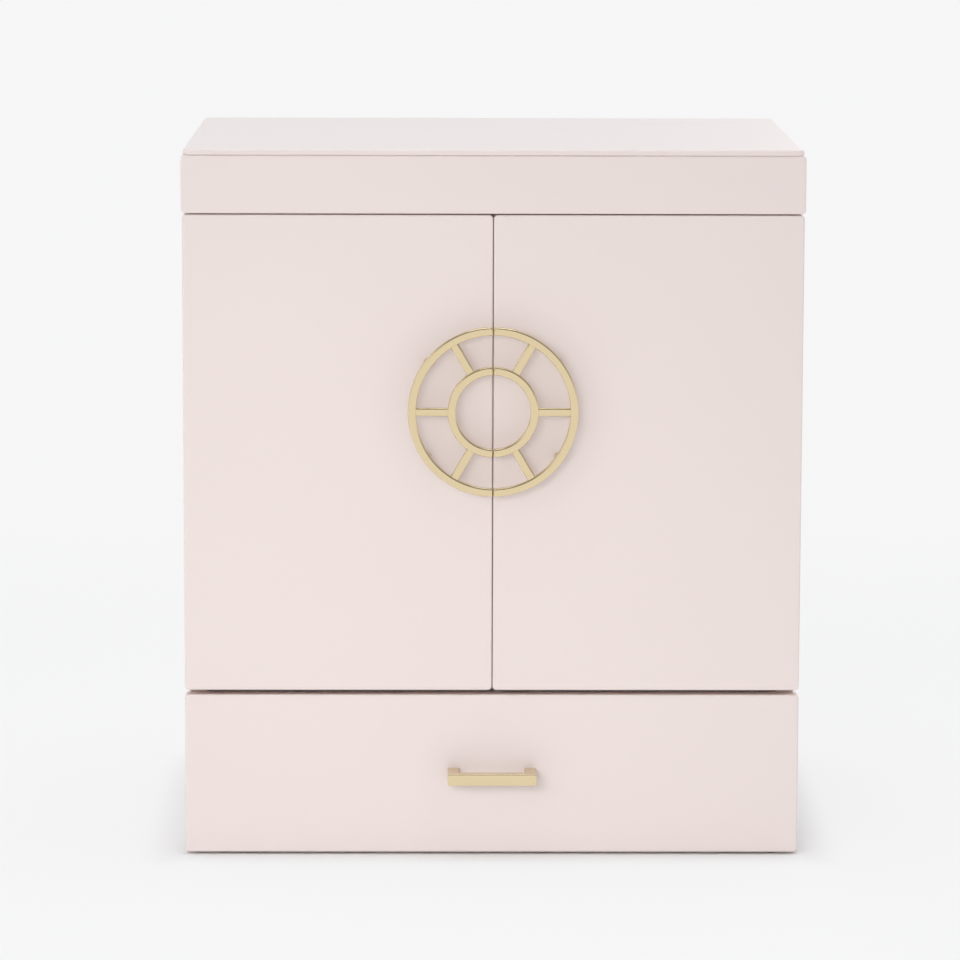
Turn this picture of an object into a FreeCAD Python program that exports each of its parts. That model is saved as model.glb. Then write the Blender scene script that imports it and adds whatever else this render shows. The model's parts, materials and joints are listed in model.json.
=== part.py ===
import FreeCAD, Part
import os
import re
import Sketcher
from FreeCAD import Rotation, Vector
from math import atan2

# A jewelry cabinet for a dressing table: a leather-wrapped case with a lift-up lid over a
# ring tray, two doors over a pair of bays, and one drawer below.
# Frame: +Z up, fronts face -Y, origin at the middle of the underside. Millimetres.

doc = FreeCAD.newDocument("jewelry_cabinet")

# Driving sizes. Each is set once here and lands in the Sizes sheet under the same name.
SIZES = {
    # whole cabinet
    "front_width": 300.0,
    "overall_depth": 210.0,
    "felt_thick": 1.0,
    "felt_inset": 4.0,
    # fronts: two doors, the drawer front and the front board of the lid
    "front_thick": 9.0,
    "front_gap": 0.5,
    "front_overlay": 2.0,
    "floor_gap": 1.2,
    "drawer_front_height": 78.7,
    "drawer_gap": 2.2,
    "door_height": 232.9,
    "lid_gap": 0.5,
    "centre_gap": 0.3,
    "corner_cut": 1.8,
    "soft_edge": 1.0,
    # boards of the case
    "board_thick": 9.0,
    "back_inset": 0.5,
    "board_edge": 0.6,
    "rear_corner_r": 2.0,
    "divider_setback": 6.0,
    # lid
    "band_height": 28.2,
    "band_extra": 0.5,
    "plate_thick": 2.9,
    "plate_inset": 0.5,
    "plate_corner_r": 2.4,
    "lid_rest_gap": 0.5,
    "liner_thick": 3.0,
    "liner_gap": 0.3,
    "mirror_width": 220.0,
    "mirror_depth": 150.0,
    "mirror_thick": 3.0,
    "mirror_gap": 0.2,
    "frame_border": 12.0,
    "frame_lip": 3.0,
    "frame_lip_thick": 1.0,
    "frame_edge": 0.8,
    # top tray
    "tray_depth": 42.0,
    "deck_thick": 5.0,
    "lining_thick": 0.8,
    "lining_drop": 3.0,
    "divider_thick": 3.0,
    "tray_divider_height": 34.0,
    "tray_front_depth": 92.0,
    "tray_back_bay": 92.0,
    "tray_small_bay": 68.0,
    "roll_r": 7.5,
    "roll_flat": 5.5,
    "roll_gap": 0.2,
    "roll_end_gap": 1.0,
    # bays behind the doors
    "partition_thick": 6.0,
    "front_zone": 35.5,
    "shelf_thick": 6.0,
    "shelf_pitch": 60.0,
    "lower_bay_height": 56.0,
    "shelf_edge_r": 1.5,
    # necklace rail in the tall bay
    "rail_bar": 4.0,
    "rail_drop": 15.0,
    "rail_inset": 14.0,
    "rail_set_back": 75.0,
    "flange_wide": 12.0,
    "flange_thick": 1.5,
    "hook_wide": 3.0,
    "hook_thick": 1.2,
    "hook_drop": 9.0,
    "hook_bend_r": 4.0,
    "hook_tip": 4.0,
    "rail_hook_pitch": 20.0,
    # linings, hooks and pouch on the back of each door
    "door_lining_thick": 2.0,
    "door_lining_gap": 2.5,
    "door_lining_mid_gap": 5.0,
    "door_lining_edge": 1.0,
    "hook_plate_width": 104.0,
    "hook_plate_height": 12.0,
    "hook_plate_thick": 2.0,
    "hook_plate_corner": 2.0,
    "hook_plate_drop": 12.0,
    "hook_peg_length": 10.0,
    "door_hook_pitch": 24.0,
    "pouch_width": 112.0,
    "pouch_height": 58.0,
    "pouch_belly": 11.0,
    "pouch_mouth": 5.0,
    "pouch_lift": 8.0,
    "pouch_edge": 2.2,
    # butt hinges of the doors
    "door_hinge_length": 26.0,
    "door_hinge_inset": 24.0,
    "door_hinge_reach": 8.4,
    "door_hinge_offset": 0.9,
    "door_leaf_thick": 0.8,
    "door_barrel_r": 1.25,
    "door_pin_r": 0.6,
    # stop hinges of the lid
    "lid_hinge_length": 34.0,
    "lid_hinge_pitch": 170.0,
    "lid_hinge_reach": 9.0,
    "lid_hinge_offset": 1.5,
    "lid_leaf_thick": 1.0,
    "lid_barrel_r": 1.75,
    "lid_pin_r": 0.8,
    # shared hinge clearances
    "pin_clearance": 0.05,
    "knuckle_gap": 0.2,
    "barrel_clearance": 0.3,
    "mortise_gap": 0.1,
    "pin_head": 0.5,
    # magnets in the front rail and steel strikes in the doors
    "magnet_wide": 10.0,
    "magnet_high": 5.0,
    "magnet_thick": 3.0,
    "magnet_from_middle": 9.0,
    "magnet_drop": 14.0,
    "strike_margin": 1.0,
    "strike_thick": 1.2,
    # split ring pull on the doors
    "pull_drop": 94.208,
    "pull_outer_r": 41.2,
    "pull_bar": 4.0,
    "pull_thick": 3.6,
    "pull_inner_r": 22.0,
    "pull_stand_off": 8.4,
    "pull_split": 0.4,
    "pull_strut_recess": 0.5,
    "pull_strut_angle": 60.0,
    "pull_post_r": 2.1,
    "pull_post_angle": 36.0,
    # square bar handle of the drawer
    "handle_length": 43.2,
    "handle_height": 5.8,
    "handle_bar": 5.0,
    "handle_post": 5.6,
    "handle_reach": 15.0,
    "handle_edge": 0.5,
    # machine screws of the pulls
    "screw_r": 1.25,
    "screw_bore_gap": 0.1,
    "screw_head_r": 2.8,
    "screw_head_thick": 1.6,
    "screw_bite": 5.5,
    "screw_sink": 2.4,
    "screw_head_gap": 0.3,
    # drawer box
    "drawer_side_gap": 0.8,
    "drawer_lift": 0.8,
    "drawer_side_thick": 7.0,
    "drawer_box_height": 54.0,
    "drawer_back_gap": 15.5,
    "drawer_back_drop": 4.0,
    "drawer_bottom_thick": 4.0,
    "drawer_divider_height": 34.0,
    "drawer_split_x": 28.0,
    "drawer_split_y": 78.0,
    "runner_end_gap": 1.5,
    "runner_proud": 3.0,
    "runner_height": 5.0,
    "runner_rise": 24.0,
    "runner_gap": 0.3,
    "runner_setback": 6.0,
    # bracelet pillows in the drawer
    "pillow_width": 44.0,
    "pillow_depth": 62.0,
    "pillow_height": 34.0,
    "pillow_corner": 7.0,
    "pillow_base_cut": 4.0,
    "pillow_crown_cut": 6.5,
    "pillow_gap": 4.5,
}

# Levels and planes that follow from the driving sizes, kept as formulas in a second sheet.
PLACES = {
    "half_front": "front_width / 2",
    "front_face": "-overall_depth / 2",
    "back_face": "overall_depth / 2",
    "front_back": "front_face + front_thick",
    "case_front": "front_back + front_gap",
    "case_half": "half_front - front_overlay",
    "inner_half": "case_half - board_thick",
    "case_back": "back_face - back_inset",
    "inner_back": "case_back - board_thick",
    "drawer_front_top": "floor_gap + drawer_front_height",
    "door_low": "drawer_front_top + drawer_gap",
    "door_top": "door_low + door_height",
    "lid_low": "door_top + lid_gap",
    "lid_high": "lid_low + band_height",
    "case_top": "lid_low - lid_rest_gap",
    "floor_top": "felt_thick + board_thick",
    "divider_low": "drawer_front_top + drawer_gap / 2 - board_thick / 2",
    "divider_top": "divider_low + board_thick",
    "deck_top": "case_top - tray_depth",
    "deck_low": "deck_top - deck_thick",
    "door_width": "half_front - centre_gap / 2",
    "bay_half": "inner_half - lining_thick",
    "bay_back": "inner_back - lining_thick",
    "bay_low": "divider_top + lining_thick",
    "bay_front": "case_front + front_zone",
    "tray_front": "case_front + board_thick",
    "tray_low": "deck_top + lining_thick",
    "tray_split": "tray_front + lining_thick + tray_front_depth",
    "door_axis_x": "case_half + door_hinge_offset",
    "door_axis_y": "front_back + front_gap / 2",
    "low_hinge_z": "door_low + door_hinge_inset + door_hinge_length / 2",
    "high_hinge_z": "door_top - door_hinge_inset - door_hinge_length / 2",
    "lid_axis_y": "back_face + lid_hinge_offset",
    "lid_axis_z": "case_top + lid_rest_gap / 2",
    "door_lining_face": "front_back + door_lining_thick",
    "door_lining_low": "divider_top + door_lining_gap",
    "door_lining_high": "deck_low - door_lining_gap",
    "door_lining_width": "inner_half - door_lining_gap - door_lining_mid_gap",
    "door_lining_mid": "(inner_half - door_lining_gap + door_lining_mid_gap) / 2",
    "magnet_z": "case_top - magnet_drop",
    "pull_ring_r": "pull_outer_r - pull_bar / 2",
    "pull_z": "door_top - pull_drop",
    "handle_z": "floor_gap + drawer_front_height / 2",
    "handle_screw_x": "handle_length / 2 - handle_post / 2",
    "drawer_half": "inner_half - drawer_side_gap",
    "drawer_inner_half": "drawer_half - drawer_side_thick",
    "drawer_low": "floor_top + drawer_lift",
    "drawer_end": "inner_back - drawer_back_gap",
    "drawer_box_length": "drawer_end - front_back",
    "drawer_inner_end": "drawer_end - drawer_side_thick",
    "drawer_floor": "drawer_low + drawer_bottom_thick",
    "drawer_back_top": "drawer_low + drawer_box_height - drawer_back_drop",
    "runner_low": "drawer_low + runner_rise",
    "runner_front": "case_front + runner_setback",
    "runner_length": "drawer_end - runner_end_gap - runner_front",
}


def fill_sheet(label, rows):
    sheet = doc.addObject("Spreadsheet::Sheet", label)
    for row, (name, content) in enumerate(rows, start=1):
        sheet.set("A%d" % row, name)
        sheet.set("B%d" % row, content)
        sheet.setAlias("B%d" % row, name)
    doc.recompute()
    return sheet


def link(text):
    """Turns the plain names in a formula into references to the two sheets."""

    def reference(match):
        word = match.group(0)
        if word in SIZES:
            return "Sizes." + word
        if word in PLACES:
            return "Places." + word
        return word

    return re.sub(r"[a-z][a-z_]*", reference, text)


sizes = fill_sheet("Sizes", [(name, str(number)) for name, number in SIZES.items()])
places = fill_sheet("Places", [(name, "=" + link(text)) for name, text in PLACES.items()])


def value(text):
    return float(sizes.evalExpression(link(text)))


def put(thing, x="0", y="0", z="0", turn=None):
    """Places a sub-part: its base follows the sheets, and its turn is fixed."""
    if turn is not None:
        thing.Placement.Rotation = turn
    for axis, text in zip("xyz", (x, y, z)):
        thing.setExpression("Placement.Base." + axis, link(text))
    return thing


def new_body(label):
    body = doc.addObject("PartDesign::Body", label)
    body.Label = label
    return body


def datum(body, role):
    return [thing for thing in body.Origin.OriginFeatures if thing.Role == role][0]


def sketch_on(body, name, role):
    sketch = body.newObject("Sketcher::SketchObject", name)
    sketch.AttachmentSupport = [(datum(body, role), "")]
    sketch.MapMode = "FlatFace"
    return sketch


def pin_point(sketch, edge, end, x, y):
    """Ties one end or centre in a sketch to the origin by two driven distances."""
    for kind, text in (("DistanceX", x), ("DistanceY", y)):
        rule = Sketcher.Constraint(kind, -1, 1, edge, end, value(text))
        number = sketch.addConstraint(rule)
        sketch.setExpression("Constraints[%d]" % number, link(text))


def polygon(body, name, role, corners):
    sketch = sketch_on(body, name, role)
    spots = [Vector(value(x), value(y), 0) for x, y in corners]
    count = len(spots)
    for i in range(count):
        sketch.addGeometry(Part.LineSegment(spots[i], spots[(i + 1) % count]))
    for i in range(count):
        sketch.addConstraint(Sketcher.Constraint("Coincident", i, 2, (i + 1) % count, 1))
    for i, (x, y) in enumerate(corners):
        pin_point(sketch, i, 1, x, y)
    return sketch


def rectangle(body, name, role, x_low, x_high, y_low, y_high):
    corners = [(x_low, y_low), (x_high, y_low), (x_high, y_high), (x_low, y_high)]
    return polygon(body, name, role, corners)


def circle(body, name, role, x, y, radius):
    sketch = sketch_on(body, name, role)
    middle = Vector(value(x), value(y), 0)
    sketch.addGeometry(Part.Circle(middle, Vector(0, 0, 1), value(radius)))
    pin_point(sketch, 0, 3, x, y)
    number = sketch.addConstraint(Sketcher.Constraint("Radius", 0, value(radius)))
    sketch.setExpression("Constraints[%d]" % number, link(radius))
    return sketch


def pad(body, name, profile, length, other_way=False, both_ways=False):
    feature = body.newObject("PartDesign::Pad", name)
    feature.Profile = profile
    feature.setExpression("Length", link(length))
    feature.Reversed = other_way
    feature.Midplane = both_ways
    doc.recompute()
    return feature


def pocket(body, name, profile, length, other_way=False, both_ways=False):
    before = body.Shape.Volume
    feature = body.newObject("PartDesign::Pocket", name)
    feature.Profile = profile
    feature.setExpression("Length", link(length))
    feature.Reversed = other_way
    feature.Midplane = both_ways
    doc.recompute()
    if body.Shape.Volume >= before:
        raise RuntimeError("pocket %s of %s cuts nothing" % (name, body.Label))
    return feature


def edge_names(shape, wanted):
    return ["Edge%d" % i for i, edge in enumerate(shape.Edges, start=1) if wanted(edge)]


def along(axis):
    """True for straight edges that run along one axis."""

    def wanted(edge):
        if not isinstance(edge.Curve, Part.Line):
            return False
        return abs(getattr(edge.tangentAt(edge.FirstParameter), axis)) > 0.999

    return wanted


def in_plane(axis, text):
    """True for edges whose ends all lie at one level of an axis, in the body's own frame."""
    level = value(text)

    def wanted(edge):
        box = edge.BoundBox
        low = getattr(box, axis.upper() + "Min")
        high = getattr(box, axis.upper() + "Max")
        return abs(low - level) < 1e-4 and abs(high - level) < 1e-4

    return wanted


def fillet(body, name, radius, wanted):
    base = body.Tip
    names = edge_names(base.Shape, wanted)
    if not names:
        raise RuntimeError("no edges to round on " + body.Label)
    feature = body.newObject("PartDesign::Fillet", name)
    feature.Base = (base, names)
    feature.setExpression("Radius", link(radius))
    doc.recompute()
    return feature


def chamfer(body, name, size, wanted):
    base = body.Tip
    feature = body.newObject("PartDesign::Chamfer", name)
    feature.Base = (base, edge_names(base.Shape, wanted))
    feature.setExpression("Size", link(size))
    doc.recompute()
    return feature


def board(label, x, y, z, wide, deep, high):
    """A plain board, its low left front corner at x, y, z."""
    body = new_body(label)
    pad(body, "board", rectangle(body, "outline", "XY_Plane", "0", wide, "0", deep), high)
    return put(body, x, y, z)


def box(label, x, y, z, wide, deep, high):
    thing = doc.addObject("Part::Box", label)
    for name, text in (("Length", wide), ("Width", deep), ("Height", high)):
        thing.setExpression(name, link(text))
    return put(thing, x, y, z)


ALONG_X = Rotation(Vector(0, 1, 0), 90)
ALONG_Y = Rotation(Vector(1, 0, 0), -90)
ALONG_Z = Rotation()


def rod(label, x, y, z, radius, length, turn=ALONG_Z):
    """A cylinder from x, y, z along its turned axis."""
    thing = doc.addObject("Part::Cylinder", label)
    thing.setExpression("Radius", link(radius))
    thing.setExpression("Height", link(length))
    return put(thing, x, y, z, turn)


def hexagon(label, x, y, z, corner_r, length):
    """A hexagon bar from x, y, z towards the back."""
    thing = doc.addObject("Part::Prism", label)
    thing.Polygon = 6
    thing.setExpression("Circumradius", link(corner_r))
    thing.setExpression("Height", link(length))
    return put(thing, x, y, z, ALONG_Y)


def fuse(label, things):
    if len(things) == 1:
        return things[0]
    thing = doc.addObject("Part::MultiFuse", label)
    thing.Shapes = things
    thing.Refine = True
    return thing


def cut(label, base, tools):
    """Cuts tools from a base and takes over its name."""
    thing = doc.addObject("Part::Cut", label + "_cut")
    thing.Base = base
    thing.Tool = fuse(label + "_tools", tools)
    thing.Refine = True
    base.Label = label + "_blank"
    thing.Label = label
    doc.recompute()
    if thing.Shape.Volume >= base.Shape.Volume - 1e-6:
        raise RuntimeError("tools miss " + label)
    return thing


def group(label, things):
    """Several like solids that share one node."""
    thing = doc.addObject("Part::Compound", label)
    thing.Label = label
    thing.Links = things
    return thing


parts = []


def keep(*things):
    parts.extend(things)


# Hinges
# A leaf lies in its own frame: the pin runs along Z, the plate reaches out along +X and
# lies on the +Y side of the pin. Its knuckles are mirror images about Z = 0, so half
# turns about X and Y give the leaf of the other board and of the other door.


def leaf(label, kind, gap, outer_knuckles):
    length = kind + "_hinge_length"
    third = "(%s / 3)" % length
    plate_from = "(%s_barrel_r + barrel_clearance)" % kind
    thick = kind + "_leaf_thick"
    spans = [("-%s / 2" % length, third + " - knuckle_gap")]
    spans.append(("%s / 6 + knuckle_gap" % length, third + " - knuckle_gap"))
    if not outer_knuckles:
        spans = [("-%s / 6" % length, third)]
    plate_wide = "%s_hinge_reach - %s" % (kind, plate_from)
    pieces = [box(label + "_plate", plate_from, gap, "-%s / 2" % length, plate_wide, thick, length)]
    for i, (low, span) in enumerate(spans):
        pieces.append(box("%s_tab_%d" % (label, i), "0", gap, low, plate_from, thick, span))
        pieces.append(rod("%s_knuckle_%d" % (label, i), "0", "0", low, kind + "_barrel_r", span))
    solid = doc.addObject("Part::Cut", label)
    solid.Base = fuse(label + "_body", pieces)
    bore = "%s_pin_r + pin_clearance" % kind
    solid.Tool = rod(label + "_bore", "0", "0", "-%s / 2 - 1" % length, bore, length + " + 2")
    solid.Refine = True
    return solid


def hinge_pin(label, kind, x, y, z, turn=ALONG_Z, run="z"):
    """The pin passes through all knuckles and stands a head's height past both ends."""
    start = {"x": x, "y": y, "z": z}
    start[run] = "%s - %s_hinge_length / 2 - pin_head" % (start[run], kind)
    length = "%s_hinge_length + 2 * pin_head" % kind
    return rod(label, start["x"], start["y"], start["z"], kind + "_pin_r", length, turn)


def groove(label, kind, x, y, z, turn=ALONG_Z, run="z"):
    """The round groove that leaves room for the knuckles in a board's corner."""
    start = {"x": x, "y": y, "z": z}
    start[run] = "%s - %s_hinge_length / 2 - pin_head - barrel_clearance" % (start[run], kind)
    length = "%s_hinge_length + 2 * (pin_head + barrel_clearance)" % kind
    radius = "%s_barrel_r + barrel_clearance" % kind
    return rod(label, start["x"], start["y"], start["z"], radius, length, turn)


# Case
# Leather-wrapped boards: two full-depth sides with a floor, a divider over the drawer,
# a tray deck and a back between them, standing on a felt sheet.


def case_side(label, side):
    """side is -1 on the left and 1 on the right; the outer edges are softened."""
    left = "-case_half" if side < 0 else "inner_half"
    high = "case_top - felt_thick"
    body = board(label, left, "case_front", "felt_thick", "board_thick", "back_face - case_front", high)
    outer = "0" if side < 0 else "board_thick"
    at_back = in_plane("y", "back_face - case_front")
    at_outer = in_plane("x", outer)
    upright = along("z")
    fillet(body, "rear_corner", "rear_corner_r", lambda e: upright(e) and at_outer(e) and at_back(e))
    at_front = in_plane("y", "0")
    at_top = in_plane("z", high)
    soft = [at_front, at_top]
    chamfer(body, "soft_edges", "board_edge", lambda e: at_outer(e) and any(t(e) for t in soft))
    tools = []
    for name, z in (("low", "low_hinge_z"), ("high", "high_hinge_z")):
        pin_x = "-door_axis_x" if side < 0 else "door_axis_x"
        reach = "door_hinge_reach + mortise_gap"
        x = pin_x if side < 0 else "door_axis_x - door_hinge_reach - mortise_gap"
        low = z + " - door_hinge_length / 2 - mortise_gap"
        span = "door_hinge_length + 2 * mortise_gap"
        tools.append(box(label + name, x, "case_front", low, reach, "door_leaf_thick", span))
        tools.append(groove(label + name + "_groove", "door", pin_x, "door_axis_y", z))
    return cut(label, body, tools)


keep(case_side("left_side", -1), case_side("right_side", 1))

felt = board("base_felt", "-case_half + felt_inset", "case_front + felt_inset", "0",
             "2 * (case_half - felt_inset)", "back_face - case_front - 2 * felt_inset", "felt_thick")
fillet(felt, "felt_corners", "felt_inset", along("z"))
keep(felt)

inner_wide = "2 * inner_half"
keep(board("bottom_board", "-inner_half", "case_front", "felt_thick",
           inner_wide, "inner_back - case_front", "board_thick"))
keep(board("drawer_divider", "-inner_half", "case_front + divider_setback", "divider_low",
           inner_wide, "inner_back - case_front - divider_setback", "board_thick"))
keep(board("tray_deck", "-inner_half", "tray_front", "deck_low",
           inner_wide, "inner_back - tray_front", "deck_thick"))

back = board("back_board", "-inner_half", "inner_back", "felt_thick",
             inner_wide, "board_thick", "case_top - felt_thick")
back_tools = []
for side, middle in (("left", "-lid_hinge_pitch / 2"), ("right", "lid_hinge_pitch / 2")):
    low = middle + " - lid_hinge_length / 2 - mortise_gap"
    back_tools.append(box("back_mortise_" + side, low, "lid_axis_y - lid_hinge_reach - mortise_gap",
                          "case_top - lid_leaf_thick", "lid_hinge_length + 2 * mortise_gap",
                          "lid_hinge_reach + mortise_gap", "lid_leaf_thick"))
keep(cut("back_board", back, back_tools))

rail = board("tray_front_rail", "-inner_half", "case_front", "deck_low",
             inner_wide, "board_thick", "case_top - deck_low")
magnets = []
magnet_pockets = []
magnet_block = ("case_front", "magnet_z", "magnet_wide", "magnet_thick", "magnet_high")
for side, x in (("left", "-magnet_from_middle - magnet_wide"), ("right", "magnet_from_middle")):
    magnets.append(box("magnet_" + side, x, *magnet_block))
    magnet_pockets.append(box("magnet_pocket_" + side, x, *magnet_block))
keep(cut("tray_front_rail", rail, magnet_pockets))
keep(group("door_magnets", magnets))

runner_args = ("runner_front", "runner_low", "runner_proud", "runner_length", "runner_height")
runners = [
    board("left_runner", "-inner_half", *runner_args),
    board("right_runner", "inner_half - runner_proud", *runner_args),
]
keep(group("drawer_runners", runners))

# Bays behind the doors
# A partition behind the meeting edges of the doors makes a tall bay for necklaces on the
# left and three shelved bays on the right. Thin velvet covers the floor, the back and both
# side walls.

keep(board("bay_partition", "-partition_thick / 2", "case_front", "bay_low",
           "partition_thick", "bay_back - case_front", "deck_low - bay_low"))


def shelf(label, low):
    body = board(label, "partition_thick / 2", "bay_front", low,
                 "bay_half - partition_thick / 2", "bay_back - bay_front", "shelf_thick")
    across = along("x")
    at_front = in_plane("y", "0")
    fillet(body, "nosing", "shelf_edge_r", lambda e: across(e) and at_front(e))
    return body


keep(shelf("lower_shelf", "bay_low + lower_bay_height"))
keep(shelf("upper_shelf", "bay_low + lower_bay_height + shelf_pitch"))

lining_high = "deck_low - bay_low"
keep(group("bay_lining", [
    board("lining_floor", "-inner_half", "case_front + divider_setback", "divider_top",
          inner_wide, "inner_back - case_front - divider_setback", "lining_thick"),
    board("lining_back", "-inner_half", "bay_back", "bay_low", inner_wide, "lining_thick", lining_high),
    board("lining_left", "-inner_half", "case_front + divider_setback", "bay_low",
          "lining_thick", "bay_back - case_front - divider_setback", lining_high),
    board("lining_right", "bay_half", "case_front + divider_setback", "bay_low",
          "lining_thick", "bay_back - case_front - divider_setback", lining_high),
]))


def hook_path(body, corner, centre, turn_end, tip_end):
    """A hook's route in the YZ plane: a straight run, one arc about centre, a straight tip."""
    sketch = sketch_on(body, "hook_path", "YZ_Plane")
    stops = [("0", "0"), corner, centre, turn_end, tip_end]
    start, knee, middle, bend, tip = [Vector(value(y), value(z), 0) for y, z in stops]
    ring = Part.Circle(middle, Vector(0, 0, 1), knee.distanceToPoint(middle))
    angles = [atan2(spot.y - middle.y, spot.x - middle.x) for spot in (knee, bend)]
    sketch.addGeometry(Part.LineSegment(start, knee))
    sketch.addGeometry(Part.ArcOfCircle(ring, *angles))
    sketch.addGeometry(Part.LineSegment(bend, tip))
    sketch.addConstraint(Sketcher.Constraint("Coincident", 0, 1, -1, 1))
    sketch.addConstraint(Sketcher.Constraint("Coincident", 0, 2, 1, 1))
    sketch.addConstraint(Sketcher.Constraint("Coincident", 1, 2, 2, 1))
    pin_point(sketch, 0, 2, *corner)
    pin_point(sketch, 1, 3, *centre)
    pin_point(sketch, 2, 2, *tip_end)
    sketch.addConstraint(Sketcher.Constraint("Horizontal", 1, 3, 1, 2))
    return sketch


def strip_hook(body, profile_plane, route):
    """One hook of flat brass strip swept along its route, added to the body."""
    feature = body.newObject("PartDesign::AdditivePipe", "hook")
    feature.Profile = rectangle(body, "hook_strip", profile_plane, "-hook_wide / 2", "hook_wide / 2",
                                "-hook_thick / 2", "hook_thick / 2")
    feature.Spine = route
    doc.recompute()
    return feature


def repeat_along_x(body, feature, count, pitch):
    pattern = body.newObject("PartDesign::LinearPattern", "row")
    pattern.Originals = [feature]
    pattern.Direction = (datum(body, "X_Axis"), [""])
    pattern.Mode = "Spacing"
    pattern.Occurrences = count
    pattern.setExpression("Offset", link(pitch))
    body.Tip = pattern
    doc.recompute()
    return pattern


def necklace_rail():
    """A square brass rail on two flanged posts under the deck, with open hooks along it."""
    span = "(bay_half - partition_thick / 2 - 2 * rail_inset)"
    hooks = int(value(span + " / rail_hook_pitch"))
    margin = "(%s - rail_hook_pitch * %d) / 2" % (span, hooks - 1)
    body = new_body("necklace_rail")
    corner = ("0", "-hook_drop")
    centre = ("hook_bend_r", "-hook_drop")
    bend = ("2 * hook_bend_r", "-hook_drop")
    tip = ("2 * hook_bend_r", "hook_tip - hook_drop")
    half = "rail_bar / 2"
    bar_end = rectangle(body, "bar", "YZ_Plane", "-" + half, half, "-" + half, half)
    bar_end.setExpression("AttachmentOffset.Base.z", link("-(%s) - %s" % (margin, half)))
    pad(body, "rail", bar_end, span + " + rail_bar")
    first = strip_hook(body, "XY_Plane", hook_path(body, corner, centre, bend, tip))
    repeat_along_x(body, first, hooks, "rail_hook_pitch")
    for side, x in (("left", "-(%s)" % margin), ("right", "%s - %s" % (span, margin))):
        post = rectangle(body, side + "_post_end", "XY_Plane", "%s - %s" % (x, half),
                         "%s + %s" % (x, half), "-" + half, half)
        pad(body, side + "_post", post, "rail_drop")
        foot = rectangle(body, side + "_flange_end", "XY_Plane", x + " - flange_wide / 2",
                         x + " + flange_wide / 2", "-flange_wide / 2", "flange_wide / 2")
        foot.setExpression("AttachmentOffset.Base.z", link("rail_drop - flange_thick"))
        pad(body, side + "_flange", foot, "flange_thick")
    x = "-partition_thick / 2 - rail_inset - " + margin
    return put(body, x, "bay_front + rail_set_back", "deck_low - rail_drop", Rotation(Vector(0, 0, 1), 180))


keep(necklace_rail())

# Ring tray under the lid
# An open velvet tray with egg-crate dividers; its front left quarter holds foam rolls.


def open_tray(label, wide, deep, high):
    """A thin-walled tray, its low left front corner at the origin."""
    body = new_body(label)
    pad(body, "block", rectangle(body, "outline", "XY_Plane", "0", wide, "0", deep), high)
    wall = "lining_thick"
    hollow = rectangle(body, "hollow", "XY_Plane", wall, "%s - %s" % (wide, wall),
                       wall, "%s - %s" % (deep, wall))
    hollow.setExpression("AttachmentOffset.Base.z", link(wall))
    pocket(body, "room", hollow, high, other_way=True)
    return body


tray = open_tray("tray_lining", inner_wide, "inner_back - tray_front", "tray_depth - lining_drop")
keep(put(tray, "-inner_half", "tray_front", "deck_top"))

keep(board("tray_long_divider", "-bay_half", "tray_split", "tray_low",
           "2 * bay_half", "divider_thick", "tray_divider_height"))

front_span = "tray_front_depth"
rear_start = "tray_split + divider_thick"
rear_span = "bay_back - (%s)" % rear_start
cross = [("-divider_thick / 2", "tray_front + lining_thick", front_span),
         ("tray_small_bay", "tray_front + lining_thick", front_span),
         ("bay_half - tray_back_bay - divider_thick", rear_start, rear_span),
         ("-bay_half + tray_back_bay", rear_start, rear_span)]
keep(group("tray_cross_dividers", [
    board("cross_divider_%d" % i, x, y, "tray_low", "divider_thick", deep, "tray_divider_height")
    for i, (x, y, deep) in enumerate(cross, start=1)]))


def ring_roll(number):
    """A foam roll under velvet: round, and flat where it lies on the tray."""
    long = "bay_half - divider_thick / 2 - 2 * roll_end_gap"
    body = new_body("ring_roll_%d" % number)
    pad(body, "roll", circle(body, "round", "YZ_Plane", "0", "0", "roll_r"), long)
    under = rectangle(body, "under", "YZ_Plane", "-roll_r", "roll_r", "-roll_r", "-roll_flat")
    pocket(body, "flat", under, long, other_way=True)
    y = "tray_split - roll_r - roll_gap - %d * (2 * roll_r + roll_gap)" % number
    return put(body, "-bay_half + roll_end_gap", y, "tray_low + roll_flat")


rolls = int(value("tray_front_depth / (2 * roll_r + roll_gap)"))
keep(group("ring_rolls", [ring_roll(i) for i in range(rolls)]))

# Lid
# A shallow leather-wrapped frame under a thin top plate, with a mirror inside.


def front_panel(label, x, z, wide, high):
    """A front: cut outline corners, softened front edges, its back on the front line."""
    body = new_body(label)
    pad(body, "panel", rectangle(body, "outline", "XZ_Plane", "0", wide, "0", high), "front_thick")
    chamfer(body, "corners", "corner_cut", along("y"))
    chamfer(body, "front_edges", "soft_edge", in_plane("y", "-front_thick"))
    return put(body, x, "front_back", z)


plate = board("lid_plate", "-half_front + plate_inset", "front_face", "lid_high",
              "front_width - 2 * plate_inset", "overall_depth", "plate_thick")
fillet(plate, "plate_corners", "plate_corner_r", along("z"))
chamfer(plate, "plate_edge", "soft_edge", in_plane("z", "plate_thick"))
keep(plate)

keep(front_panel("lid_front_board", "-half_front - band_extra", "lid_low",
                 "front_width + 2 * band_extra", "band_height"))


def lid_rail(label, side):
    left = "-case_half" if side < 0 else "inner_half"
    body = board(label, left, "front_back", "lid_low",
                 "board_thick", "back_face - front_back", "band_height")
    at_outer = in_plane("x", "0" if side < 0 else "board_thick")
    at_back = in_plane("y", "back_face - front_back")
    upright = along("z")
    fillet(body, "rear_corner", "rear_corner_r", lambda e: upright(e) and at_outer(e) and at_back(e))
    at_low = in_plane("z", "0")
    chamfer(body, "soft_edges", "board_edge", lambda e: at_outer(e) and at_low(e))
    return body


keep(lid_rail("lid_left_rail", -1), lid_rail("lid_right_rail", 1))

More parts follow.
